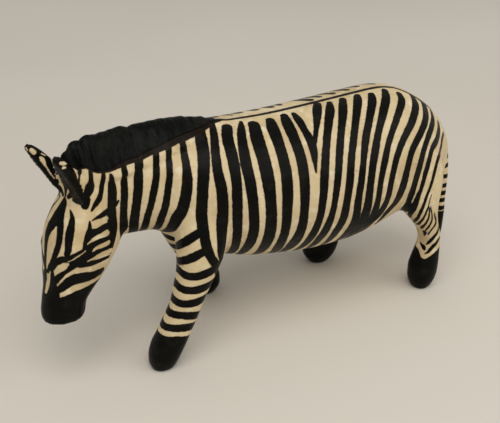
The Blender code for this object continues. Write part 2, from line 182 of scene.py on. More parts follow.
def bent(points):
    """Neck points carried round the turn of the head little by little."""
    forward = NECK_START - points[:, 0]
    angle = np.interp(forward, NECK_WALK, NECK_HEADING)
    moved = points.copy()
    moved[:, 0] = np.interp(forward, NECK_WALK, NECK_X) - points[:, 1] * np.sin(angle)
    moved[:, 1] = np.interp(forward, NECK_WALK, NECK_Y) + points[:, 1] * np.cos(angle)
    return np.where((forward > 0.0)[:, None], moved, points)


def unbent(points):
    """The reverse of bent: where each point would be if the neck were straight."""
    forward = NECK_START - points[:, 0]
    for _ in range(UNBEND_ROUNDS):
        angle = np.interp(forward, NECK_WALK, NECK_HEADING)
        away_x = points[:, 0] - np.interp(forward, NECK_WALK, NECK_X)
        away_y = points[:, 1] - np.interp(forward, NECK_WALK, NECK_Y)
        forward = forward - away_x * np.cos(angle) - away_y * np.sin(angle)
    side = away_y * np.cos(angle) - away_x * np.sin(angle)
    straight = np.column_stack([NECK_START - forward, side, points[:, 2]])
    return np.where((forward > 0.0)[:, None], straight, points)


# x, top, underside, half width, height of the widest line
TRUNK = (
    (-22, 80, 62, 7.0, 71),
    (-16, 82, 53, 10.0, 68),
    (-6, 83.5, 50, 12.0, 67),
    (4, 84.5, 49.5, 14.0, 66),
    (12, 85.5, 45, 18.0, 63),
    (20, 86, 39, 21.5, 60),
    (30, 86.6, 34, 24.5, 57),
    (42, 86.1, 30, 26.2, 56),
    (55, 85.8, 27.5, 27.2, 56),
    (70, 86.1, 25.5, 27.7, 56),
    (82, 86.6, 25.3, 27.7, 56),
    (95, 87.3, 27, 27.2, 57),
    (105, 87.7, 30, 26.2, 58),
    (112, 86.9, 32.2, 24.9, 58),
    (118, 84.9, 34, 22.8, 58),
    (124, 81.7, 35, 20.1, 57),
    (129, 78.1, 36, 17.0, 56),
    (134, 73.3, 36.5, 13.5, 55),
    (138, 68.7, 37.5, 10.1, 54),
    (141, 64.0, 39, 7.1, 53),
    (143.4, 58.9, 41, 4.2, 51),
    (145, 54, 43, 2.0, 49),
)
trunk_top = column(TRUNK, 1)
trunk_half = column(TRUNK, 3)
trunk_widest = column(TRUNK, 4)


def add_trunk(bm):
    """Barrel, rump and neck: upright rings along the body."""
    rings = []
    for x, top, underside, half_width, widest in smooth_rows(TRUNK, RING_STEP):
        side, rise = oval(half_width, top - widest, widest - underside)
        rings.append(bent(np.column_stack([np.full(RING_SIDES, x), -side, widest + rise])))
    add_loft(bm, rings)


# height, front, back, share of HEAD_WIDTH, share of MUZZLE_WIDTH, how square the outline is
HEAD = (
    (85, -24, -12, 0.30, 0.0, 2.0),
    (82, -26, -8, 0.55, 0.0, 2.0),
    (77, -27.5, -4, 0.80, 0.0, 2.1),
    (72, -28.3, -2, 0.92, 0.0, 2.2),
    (67, -32.5, -2.5, 0.97, 0.0, 2.2),
    (60, -36.6, -4.5, 1.0, 0.0, 2.3),
    (53, -38.0, -7.5, 1.0, 0.0, 2.4),
    (46, -39.0, -12, 0.86, 0.08, 2.4),
    (40, -39.7, -17, 0.50, 0.42, 2.4),
    (35, -41.2, -22.6, 0.18, 0.79, 2.2),
    (32, -42.2, -25.0, 0.04, 0.96, 2.0),
    (29.5, -42.7, -25.6, 0.0, 1.03, 1.9),
    (27.6, -42.6, -25.9, 0.0, 1.03, 1.85),
    (26.8, -42.3, -26.4, 0.0, 1.01, 1.85),
)


head_front = column(HEAD, 1)
head_back = column(HEAD, 2)


def head_middle(z):
    return (head_front(z) + head_back(z)) / 2.0


def add_head(bm):
    """Level rings from the top of the head down to the flat end of the muzzle."""
    rings = []
    for z, front, back, cheek, muzzle, power in smooth_rows(HEAD, RING_STEP):
        half_width = (cheek * HEAD_WIDTH + muzzle * MUZZLE_WIDTH) / 2.0
        side, rise = oval(half_width, (back - front) / 2.0, (back - front) / 2.0, power)
        rings.append(turned(np.column_stack([(front + back) / 2.0 + rise, side, np.full(RING_SIDES, z)])))
    add_loft(bm, rings)


# height, front, back, share of FOOT_SPREAD, share of LEG_WIDTH and, in the hoof, of HOOF_WIDTH
LEFT_FORE_LEG = (
    (68, 13.5, 31, 0.50, 1.3),
    (60, 11.5, 31.5, 0.66, 1.5),
    (52, 9.8, 30.5, 0.79, 1.55),
    (46, 9.2, 28.5, 0.86, 1.46),
    (42, 8.9, 26.5, 0.91, 1.34),
    (37.7, 8.3, 24.0, 0.94, 1.22),
    (31.7, 6.6, 20.6, 0.97, 1.1),
    (25.6, 4.8, 17.2, 0.99, 1.03),
    (19.9, 1.7, 14.8, 1.0, 1.0),
    (14.2, -1.2, 11.9, 1.0, 1.02),
    (8.5, -4.3, 9.0, 1.0, 1.0),
    (4.5, -5.2, 6.8, 1.0, 0.96),
    (2, -5.2, 5.4, 1.0, 0.86),
    (0, -4.6, 4.2, 1.0, 0.70),
    (-1.5, -3.2, 2.6, 1.0, 0.38),
)
RIGHT_FORE_LEG = (
    (68, 13, 31, 0.50, 1.3),
    (60, 11.5, 31.5, 0.66, 1.5),
    (52, 11.5, 31.5, 0.79, 1.55),
    (46, 12.8, 31.5, 0.86, 1.44),
    (40, 15, 31.5, 0.92, 1.25),
    (32, 18.5, 33, 0.97, 1.08),
    (25, 22, 35.5, 0.99, 1.0),
    (18, 26, 38.5, 1.0, 1.0),
    (13, 28.5, 41.2, 1.0, 1.02),
    (8.5, 30, 43.0, 1.0, 1.0),
    (4.5, 30.9, 43.1, 1.0, 0.94),
    (2, 32.2, 41.9, 1.0, 0.79),
    (0, 33.9, 40.2, 1.0, 0.56),
    (-1.5, 35.6, 38.5, 1.0, 0.26),
)
LEFT_HIND_LEG = (
    (76, 106, 122, 0.42, 1.2),
    (68, 104, 126, 0.56, 1.5),
    (60, 103.5, 128.5, 0.70, 1.65),
    (52, 104.5, 129, 0.82, 1.62),
    (46, 106.5, 128, 0.88, 1.48),
    (41, 109, 126.7, 0.92, 1.35),
    (35, 113.5, 126.3, 0.95, 1.2),
    (30, 117.5, 127.0, 0.98, 1.05),
    (26, 119.8, 128.2, 0.99, 0.97),
    (22, 120.6, 128.6, 1.0, 0.93),
    (18, 119.6, 128.8, 1.0, 0.98),
    (14, 118.0, 128.9, 1.0, 1.02),
    (8.5, 116.6, 128.8, 1.0, 1.0),
    (4.5, 116.6, 128.0, 1.0, 0.95),
    (2, 117.2, 126.8, 1.0, 0.84),
    (0, 118.2, 125.4, 1.0, 0.68),
    (-1.5, 119.8, 124.0, 1.0, 0.36),
)
RIGHT_HIND_LEG = (
    (76, 106, 122, 0.42, 1.2),
    (68, 103.5, 125.5, 0.56, 1.5),
    (60, 102, 127.5, 0.70, 1.65),
    (52, 101.5, 127.5, 0.82, 1.62),
    (46, 101.5, 126, 0.88, 1.48),
    (41, 102, 124.5, 0.92, 1.35),
    (35, 102.5, 120, 0.95, 1.2),
    (29, 100.5, 115, 0.98, 1.05),
    (24, 97.5, 111, 0.99, 0.97),
    (19, 93.5, 107, 1.0, 0.95),
    (14, 89.6, 105.0, 1.0, 1.02),
    (8.5, 86.5, 103.8, 1.0, 1.0),
    (4.5, 86.8, 102.4, 1.0, 0.94),
    (2, 88.0, 100.6, 1.0, 0.82),
    (0, 89.6, 98.4, 1.0, 0.64),
    (-1.5, 91.4, 96.2, 1.0, 0.34),
)


LEGS = {
    "left_fore": (LEFT_FORE_LEG, -1),
    "right_fore": (RIGHT_FORE_LEG, 1),
    "left_hind": (LEFT_HIND_LEG, -1),
    "right_hind": (RIGHT_HIND_LEG, 1),
}
LEG_TABLES = {leg: smooth_rows(rows, COLUMN_STEP)[::-1] for leg, (rows, side) in LEGS.items()}


def leg_middle(leg, z):
    """x and y of a leg's middle line at some heights."""
    rows = LEG_TABLES[leg]
    x = np.interp(z, rows[:, 0], (rows[:, 1] + rows[:, 2]) / 2.0)
    y = LEGS[leg][1] * np.interp(z, rows[:, 0], rows[:, 3]) * FOOT_SPREAD / 2.0
    return x, y


def add_leg(bm, stations, side):
    """Level rings from inside the body down to the hoof; side is -1 on the left and 1 on the right."""
    rings = []
    for z, front, back, spread, width in smooth_rows(stations, RING_STEP):
        hoof = np.clip((HOOF_TOP - z) / HOOF_BLEND, 0.0, 1.0)
        half_width = width * (LEG_WIDTH * (1.0 - hoof) + HOOF_WIDTH * hoof) / 2.0
        centre = side * spread * FOOT_SPREAD / 2.0
        across, rise = oval(half_width, (back - front) / 2.0, (back - front) / 2.0, LEG_SQUARENESS)
        rings.append(np.column_stack([(front + back) / 2.0 + rise, centre + across, np.full(RING_SIDES, z)]))
    add_loft(bm, rings)


# height, x of the centre, share of TAIL_WIDTH
TAIL = (
    (68, 134.5, 1.2),
    (62, 139.5, 1.2),
    (56, 142.8, 1.15),
    (48, 145.0, 1.05),
    (38, 146.0, 1.0),
    (27, 146.1, 0.95),
    (22, 145.9, 1.1),
    (15, 145.6, 1.15),
    (9, 145.5, 0.9),
    (5, 145.5, 0.4),
)


tail_middle = column(TAIL, 1)


def add_tail(bm):
    """Level rings down the tail, with a fuller tuft at its end."""
    rings = []
    for z, x, share in smooth_rows(TAIL, RING_STEP):
        half_width = TAIL_WIDTH / 2.0 * share
        side, rise = oval(half_width, half_width, half_width)
        rings.append(np.column_stack([x + rise, side, np.full(RING_SIDES, z)]))
    add_loft(bm, rings)


# share of the ear's length, shares of its depth in front of its middle line and behind, share of its width
EAR = (
    (0.0, 0.17, 0.42, 0.50),
    (0.10, 0.24, 0.64, 0.78),
    (0.25, 0.29, 0.73, 0.95),
    (0.50, 0.31, 0.67, 1.0),
    (0.70, 0.29, 0.55, 0.96),
    (0.86, 0.25, 0.42, 0.80),
    (0.95, 0.19, 0.29, 0.56),
    (1.0, 0.11, 0.15, 0.30),
)
EAR_BASE = (-24.8, 4.8, 70.0)  # where the right ear's middle line begins before the head turns
SCOOP_WIDTH = 0.8  # width of the scoop over the ear's own


def ear_frame(side):
    """Where an ear begins, and its three directions: along it, outwards and backwards."""
    lean, splay, twist = (math.radians(angle) for angle in (EAR_LEAN, EAR_SPLAY, EAR_TWIST))
    upright = math.cos(splay)
    along = np.array([-math.sin(lean) * upright, side * math.sin(splay), math.cos(lean) * upright])
    outward = np.array([math.sin(twist), side * math.cos(twist), 0.0])
    outward -= along * outward.dot(along)
    outward /= np.linalg.norm(outward)
    backward = np.cross(outward, along) * side
    return np.array([EAR_BASE[0], EAR_BASE[1] * side, EAR_BASE[2]]), along, outward, backward


def add_ear(bm, side):
    """A leaf with a scoop along its front edge; side is -1 on the zebra's left and 1 on its right."""
    base, along, outward, backward = ear_frame(side)
    rings = []
    for reach, front, back, width in smooth_rows(EAR, EAR_STEP):
        half_width = width * EAR_WIDTH / 2.0
        across, rise = oval(half_width, back * EAR_DEPTH, front * EAR_DEPTH, EAR_SQUARENESS)
        scoop = EAR_HOLLOW * width * np.clip(1.0 - (across / half_width / SCOOP_WIDTH) ** 2, 0.0, 1.0)
        rise = np.where(rise < 0.0, rise + scoop, rise)
        centre = base + along * (EAR_LENGTH * reach)
        rings.append(turned(centre + np.outer(across, outward) + np.outer(rise, backward)))
    add_loft(bm, rings)


EYE = (-33.5, 8.3, 54.4)  # centre of the right eye before the head turns
EYE_SLANT = (0.55, 0.42, 0.50)  # from its front corner to its back corner
EYE_SHAPE = (0.30, 0.13)  # its height and its thickness over its length
EYE_OUTWARD = (-0.6, 0.8)  # which way it looks: along x and along y
EYE_END = 0.97  # where its end rings lie, as a share of its half length


def add_eye(bm, side):
    """A narrow almond that stands a little out of the side of the head."""
    along = np.array([EYE_SLANT[0], EYE_SLANT[1] * side, EYE_SLANT[2]])
    along /= np.linalg.norm(along)
    outward = np.array([EYE_OUTWARD[0], EYE_OUTWARD[1] * side, 0.0])
    outward -= along * outward.dot(along)
    outward /= np.linalg.norm(outward)
    upward = np.cross(along, outward)
    half_length = EYE_LENGTH / 2.0
    rings = []
    for reach in np.linspace(-EYE_END, EYE_END, EYE_RINGS):
        swell = half_length * (1.0 - reach * reach)
        rise, out = oval(swell * EYE_SHAPE[0], swell * EYE_SHAPE[1] * 2.0, swell * EYE_SHAPE[1] * 2.0)
        centre = np.array([EYE[0], EYE[1] * side, EYE[2]]) + along * half_length * reach
        rings.append(turned(centre + np.outer(rise, upward) + np.outer(out, outward)))
    add_loft(bm, rings)


# x, crest, lower edge, share of the neck's width
MANE = (
    (-28.8, 83.4, 80.5, 0.25),
    (-27.4, 87.0, 79.8, 0.50),
    (-24.6, 89.6, 79.0, 0.72),
    (-21, 91.0, 78.0, 0.90),
    (-16, 91.4, 77.2, 1.0),
    (-10, 91.2, 77.0, 1.0),
    (-4, 91.2, 78.0, 1.0),
    (4, 91.4, 80.0, 1.0),
    (12, 91.5, 82.3, 1.0),
    (20, 90.9, 84.3, 1.0),
    (28, 89.2, 85.7, 0.9),
    (34, 87.6, 86.2, 0.5),
    (38, 86.5, 86.0, 0.2),
)
MANE_FULLNESS = 1.5  # 1 is a flat-sided roof, and more is rounder
MANE_ROOT = 3.0  # how deep the mane reaches into the neck
MANE_ROOT_WIDTH = 0.6  # width of that root over the mane's own
MANE_PATH_STEP = 1.0  # between the points of the path that the locks follow
NECK_END = -16.0  # x where the neck's own width stops counting for the mane


def mane_rows(step):
    """x, crest, lower edge and half width of the mane."""
    rows = []
    for x, crest, edge, share in smooth_rows(MANE, step):
        at = max(x, NECK_END)
        rise = np.clip((edge - trunk_widest(at)) / (trunk_top(at) - trunk_widest(at)), 0.0, 1.0)
        neck = trunk_half(at) * math.sqrt(1.0 - rise * rise)
        rows.append((x, crest, edge, share * (neck + MANE_LEDGE)))
    return rows


def add_mane_ridge(bm):
    """The plain ridge that the mane's locks lie on."""
    rings = []
    for x, crest, edge, half_width in mane_rows(RING_STEP):
        lean = np.linspace(-1.0, 1.0, RING_SIDES)
        inset = min(LOCK_DEPTH, 0.5 * (crest - edge), 0.5 * half_width)
        y = (half_width - inset) * lean
        z = edge + (crest - inset - edge) * (1.0 - np.abs(lean) ** MANE_FULLNESS)
        y = np.append(y, [MANE_ROOT_WIDTH * half_width, -MANE_ROOT_WIDTH * half_width])
        z = np.append(z, [edge - MANE_ROOT, edge - MANE_ROOT])
        rings.append(bent(np.column_stack([np.full(len(y), x), y, z])))
    add_loft(bm, rings)


def wire(tree, source, output, target, socket):
    tree.links.new(source.outputs[output], target.inputs[socket])


def math_node(tree, operation, first, second=None):
    """A Math node fed by sockets or plain numbers."""
    made = tree.nodes.new("ShaderNodeMath")
    made.operation = operation
    for index, value in enumerate((first, second)):
        if value is None:
            continue
        if isinstance(value, (int, float)):
            made.inputs[index].default_value = value
        else:
            tree.links.new(value, made.inputs[index])
    return made.outputs[0]


# What the tree of the mane's locks is given besides its path and its material.
LOCK_SIZES = {
    "Lock Pitch": LOCK_PITCH,
    "Lock Length": LOCK_PITCH,
    "Lock Thickness": LOCK_THICKNESS,
    "Fullness": MANE_FULLNESS,
    "Unevenness": 0.3,
}
LOCK_SEED = 4
LOCK_SWING = 0.35  # how far a lock turns either way at full unevenness, in radians
LOCK_TILT = 0.5
LOCK_STRETCH = {"length": (0.56, 0.78), "width": (0.96, 1.02), "height": (0.97, 1.02)}
LOCK_POINTS = 33  # along a lock, from one side of the mane over the crest to the other
LOCK_SIDES = 12


def lock_tree():
    """Roof-shaped locks set side by side along a path, each a little different from the next."""
    tree = bpy.data.node_groups.new("mane_locks", "GeometryNodeTree")
    sockets = tree.interface
    sockets.new_socket("Path", in_out="INPUT", socket_type="NodeSocketGeometry")
    for name, value in LOCK_SIZES.items():
        sockets.new_socket(name, in_out="INPUT", socket_type="NodeSocketFloat").default_value = value
    sockets.new_socket("Seed", in_out="INPUT", socket_type="NodeSocketInt").default_value = LOCK_SEED
    sockets.new_socket("Finish", in_out="INPUT", socket_type="NodeSocketMaterial")
    sockets.new_socket("Locks", in_out="OUTPUT", socket_type="NodeSocketGeometry")
    given = tree.nodes.new("NodeGroupInput")
    result = tree.nodes.new("NodeGroupOutput")

    line = tree.nodes.new("GeometryNodeMeshLine")
    line.mode = "END_POINTS"
    line.inputs["Count"].default_value = LOCK_POINTS
    line.inputs["Start Location"].default_value = (0.0, -1.0, 0.0)
    line.inputs["Offset"].default_value = (0.0, 1.0, 0.0)
    place = tree.nodes.new("GeometryNodeInputPosition")
    parts = tree.nodes.new("ShaderNodeSeparateXYZ")
    wire(tree, place, 0, parts, 0)
    away = math_node(tree, "ABSOLUTE", parts.outputs["Y"])
    drop = math_node(tree, "POWER", away, given.outputs["Fullness"])
    height = math_node(tree, "SUBTRACT", 1.0, drop)
    roof = tree.nodes.new("ShaderNodeCombineXYZ")
    wire(tree, parts, "Y", roof, "Y")
    tree.links.new(height, roof.inputs["Z"])
    shaped = tree.nodes.new("GeometryNodeSetPosition")
    wire(tree, line, "Mesh", shaped, "Geometry")
    wire(tree, roof, 0, shaped, "Position")
    spine = tree.nodes.new("GeometryNodeMeshToCurve")
    wire(tree, shaped, 0, spine, "Mesh")
    section = tree.nodes.new("GeometryNodeCurvePrimitiveCircle")
    section.inputs["Resolution"].default_value = LOCK_SIDES
    wire(tree, given, "Lock Thickness", section, "Radius")
    lock = tree.nodes.new("GeometryNodeCurveToMesh")
    lock.inputs["Fill Caps"].default_value = True
    wire(tree, spine, "Curve", lock, "Curve")
    wire(tree, section, "Curve", lock, "Profile Curve")

    path = tree.nodes.new("GeometryNodeMeshToCurve")
    wire(tree, given, "Path", path, "Mesh")
    spaced = tree.nodes.new("GeometryNodeResampleCurve")
    spaced.mode = "LENGTH"
    wire(tree, path, "Curve", spaced, "Curve")
    wire(tree, given, "Lock Pitch", spaced, "Length")

    def named(name):
        made = tree.nodes.new("GeometryNodeInputNamedAttribute")
        made.data_type = "FLOAT"
        made.inputs["Name"].default_value = name
        return made.outputs["Attribute"]

    def chance(low, high, step):
        made = tree.nodes.new("FunctionNodeRandomValue")
        made.data_type = "FLOAT"
        made.inputs[2].default_value = low
        made.inputs[3].default_value = high
        tree.links.new(math_node(tree, "ADD", given.outputs["Seed"], float(step)), made.inputs["Seed"])
        return made.outputs[1]

    tangent = tree.nodes.new("GeometryNodeInputTangent")
    heading = tree.nodes.new("ShaderNodeSeparateXYZ")
    wire(tree, tangent, 0, heading, 0)
    bearing = math_node(tree, "ARCTAN2", heading.outputs["Y"], heading.outputs["X"])
    turn = tree.nodes.new("ShaderNodeCombineXYZ")
    swing = math_node(tree, "MULTIPLY", chance(-LOCK_SWING, LOCK_SWING, 1), given.outputs["Unevenness"])
    tree.links.new(math_node(tree, "ADD", bearing, swing), turn.inputs["Z"])
    tilt = math_node(tree, "MULTIPLY", chance(-LOCK_TILT, LOCK_TILT, 2), given.outputs["Unevenness"])
    tree.links.new(tilt, turn.inputs["Y"])
    size = tree.nodes.new("ShaderNodeCombineXYZ")
    stretch = math_node(tree, "DIVIDE", given.outputs["Lock Length"], given.outputs["Lock Thickness"])
    sizes = (("X", stretch, "length"), ("Y", named("half_width"), "width"), ("Z", named("rise"), "height"))
    for step, (axis, full, measure) in enumerate(sizes, 3):
        share = chance(*LOCK_STRETCH[measure], step)
        tree.links.new(math_node(tree, "MULTIPLY", full, share), size.inputs[axis])
    set_out = tree.nodes.new("GeometryNodeInstanceOnPoints")
    wire(tree, spaced, "Curve", set_out, "Points")
    wire(tree, lock, "Mesh", set_out, "Instance")
    wire(tree, turn, 0, set_out, "Rotation")
    wire(tree, size, 0, set_out, "Scale")
    real = tree.nodes.new("GeometryNodeRealizeInstances")
    wire(tree, set_out, 0, real, 0)
    finish = tree.nodes.new("GeometryNodeSetMaterial")
    wire(tree, real, 0, finish, "Geometry")
    wire(tree, given, "Finish", finish, "Material")
    wire(tree, finish, 0, result, 0)
    return tree


def evaluated_mesh(obj):
    """The object's mesh as its modifiers leave it, in a plain mesh of its own; the object goes."""
    bpy.context.view_layer.update()
    mesh = bpy.data.meshes.new_from_object(obj.evaluated_get(bpy.context.evaluated_depsgraph_get()))
    bpy.data.objects.remove(obj)
    return mesh


def mane_locks(material):
    """The locks of the mane as one plain mesh."""
    rows = mane_rows(MANE_PATH_STEP)
    middle = bent(np.array([(x, 0.0, edge) for x, crest, edge, half in rows]))
    mesh = bpy.data.meshes.new("mane_path")
    mesh.from_pydata([tuple(p) for p in middle], [(k, k + 1) for k in range(len(rows) - 1)], [])
    widths = mesh.attributes.new("half_width", "FLOAT", "POINT")
    rises = mesh.attributes.new("rise", "FLOAT", "POINT")
    for k, (x, crest, edge, half) in enumerate(rows):
        widths.data[k].value = max(0.5 * half, half - LOCK_DEPTH)
        rises.data[k].value = max(0.5 * (crest - edge), crest - edge - LOCK_DEPTH)
    obj = bpy.data.objects.new("mane_path", mesh)
    bpy.context.scene.collection.objects.link(obj)
    modifier = obj.modifiers.new("locks", "NODES")
    modifier.node_group = lock_tree()
    given = {item.name: item.identifier for item in modifier.node_group.interface.items_tree}
    for name, value in LOCK_SIZES.items():
        modifier[given[name]] = value
    modifier[given["Seed"]] = LOCK_SEED
    modifier[given["Finish"]] = material
    return evaluated_mesh(obj)


# x, distance from the middle plane, height and reach of the places where limbs grow out of the body
JOINS = (
    (19, 19, 53, 18),
    (113, 19, 53, 20),
    (-13, 11, 58, 10),
    (140, 0, 62, 7),
)


def positions(mesh):
    points = np.empty(len(mesh.vertices) * 3)
    mesh.vertices.foreach_get("co", points)
    return points.reshape(-1, 3)


def mark_joins(obj):
    """A vertex group that is 1 at the middle of each join and fades to 0 at its reach."""
    group = obj.vertex_groups.new(name="joins")
    points = positions(obj.data)
    points[:, 1] = np.abs(points[:, 1])
    weight = np.zeros(len(points))
    for x, across, height, reach in JOINS:
        near = np.clip(1.0 - np.linalg.norm(points - (x, across, height), axis=1) / reach, 0.0, 1.0)
        weight = np.maximum(weight, np.sqrt(near))
    levels = np.round(weight * JOIN_LEVELS).astype(int)
    for level in range(1, JOIN_LEVELS + 1):
        chosen = np.flatnonzero(levels == level)
        if len(chosen):
            group.add(chosen.tolist(), level / JOIN_LEVELS, "REPLACE")
    return group


def fused(shells):
    """The overlapping skins made one and softened where they meet."""
    obj = bpy.data.objects.new("shells", shells)
    bpy.context.scene.collection.objects.link(obj)
    remesh = obj.modifiers.new("fuse", "REMESH")
    remesh.mode = "VOXEL"
    remesh.voxel_size = GRAIN
    whole = bpy.data.objects.new("whole", evaluated_mesh(obj))
    bpy.context.scene.collection.objects.link(whole)
    group = mark_joins(whole)
    soften = whole.modifiers.new("soften", "SMOOTH")
    soften.factor = SOFTENING_SHARE
    soften.iterations = SOFTENING
    blend = whole.modifiers.new("blend", "SMOOTH")
    blend.factor = SOFTENING_SHARE
    blend.iterations = JOIN_SOFTENING
    blend.vertex_group = group.name
    return evaluated_mesh(whole)


def cut_soles(bm):
    """The feet cut off flat at the floor."""
    everything = bm.verts[:] + bm.edges[:] + bm.faces[:]
    floor = {"plane_co": (0, 0, 0), "plane_no": (0, 0, -1)}
    found = bmesh.ops.bisect_plane(bm, geom=everything, clear_outer=True, **floor)
    edges = [e for e in found["geom_cut"] if isinstance(e, bmesh.types.BMEdge)]
    bmesh.ops.holes_fill(bm, edges=edges, sides=0)
    bmesh.ops.triangulate(bm, faces=bm.faces[:])


def carve(material):
    """The whole figure as one mesh in units, in the tables' own frame."""
    bm = bmesh.new()
    add_trunk(bm)
    add_head(bm)
    for rows, side in LEGS.values():
        add_leg(bm, rows, side)
    add_tail(bm)
    add_mane_ridge(bm)
    for side in (-1, 1):
        add_ear(bm, side)
        add_eye(bm, side)
    bm.from_mesh(mane_locks(material))
    bmesh.ops.recalc_face_normals(bm, faces=bm.faces[:])
    shells = bpy.data.meshes.new("shells")
    bm.to_mesh(shells)
    bm.free()
    mesh = fused(shells)
    bm = bmesh.new()
    bm.from_mesh(mesh)
    cut_soles(bm)
    bm.to_mesh(mesh)
    bm.free()
    return mesh


BRUSH_SPREAD = 0.2  # how far the wet paint spread past the brush
THINNEST_STROKE = 0.05  # half the width of the finest stroke
STROKE_STEPS = 8  # pieces that a stroke is cut into between two of its places
BODY_RAY = 34.0  # how far from the body's middle line its own surface may lie
HEAD_RAY = 18.0
LEG_RAY = 16.0

# The painting. A stroke is a row of places, each with half the brush's width there, laid on the carving.
# On the body a place is x along it and the angle round it: 90 is the back, 0 the widest line, -90 the belly.
NECK_STRIPES = (
    ((-14.2, 50, 0.45), (-14.3, 42, 1.1), (-14.5, 32, 1.5), (-15, 21, 1.65), (-16, 1, 1.6), (-16.6, -24, 1.95),
     (-16.5, -43, 2.1), (-17.4, -53, 1.7), (-18, -60, 0.6), (-18.1, -63, 0.1)),
    ((-15.6, 1, 0.9), (-14, -1, 0.4), (-13.3, 4, 0.3), (-12.5, 8, 0.1)),
    ((-7.8, 60, 0.9), (-8, 51, 0.85), (-8.4, 41, 1.0), (-8.9, 31, 1.1), (-10.3, -2, 1.2), (-10.5, -28, 1.25),
     (-9.9, -53, 1.6), (-10.5, -64, 0.3)),
    ((-1, 58, 1.4), (-3.2, 22, 1.5), (-4.8, -8, 1.45), (-5.3, -38, 1.6), (-3.8, -72, 1.6)),
    ((5.8, 63, 0.95), (4.5, 40, 1.05), (2.8, 19, 1.15), (1.3, -5, 1.05), (0, -30, 1.15), (-0.2, -65, 1.3)),
    ((10.6, 67, 0.9), (8.8, 39, 1.0), (7.4, 20, 1.05), (6.1, -6, 1.15), (5, -30, 1.25), (4.6, -70, 1.1)),
    ((16.3, 72, 1.05), (15.1, 49, 1.25), (14.3, 35, 1.7), (13, 18, 1.85), (11.3, -2, 1.95), (9.6, -20, 2.0),
     (8.4, -49, 1.3), (7, -72, 0.4)),
    ((-21.3, 60, 0.6), (-22, 47, 0.75), (-22.8, 36, 1.4), (-23.9, 27, 1.4), (-24.9, 19, 0.9),
     (-25.4, 12, 0.2)),
    ((-17.1, 54, 0.6), (-17.8, 47, 0.7), (-18.7, 37, 0.75), (-19.9, 19, 0.7), (-21.5, 1, 0.85),
     (-24.3, -16, 0.2)),
    ((-24, 70, 0.5), (-27.6, 48, 0.6), (-27.7, 40, 0.45), (-27.5, 33, 0.2)),
)
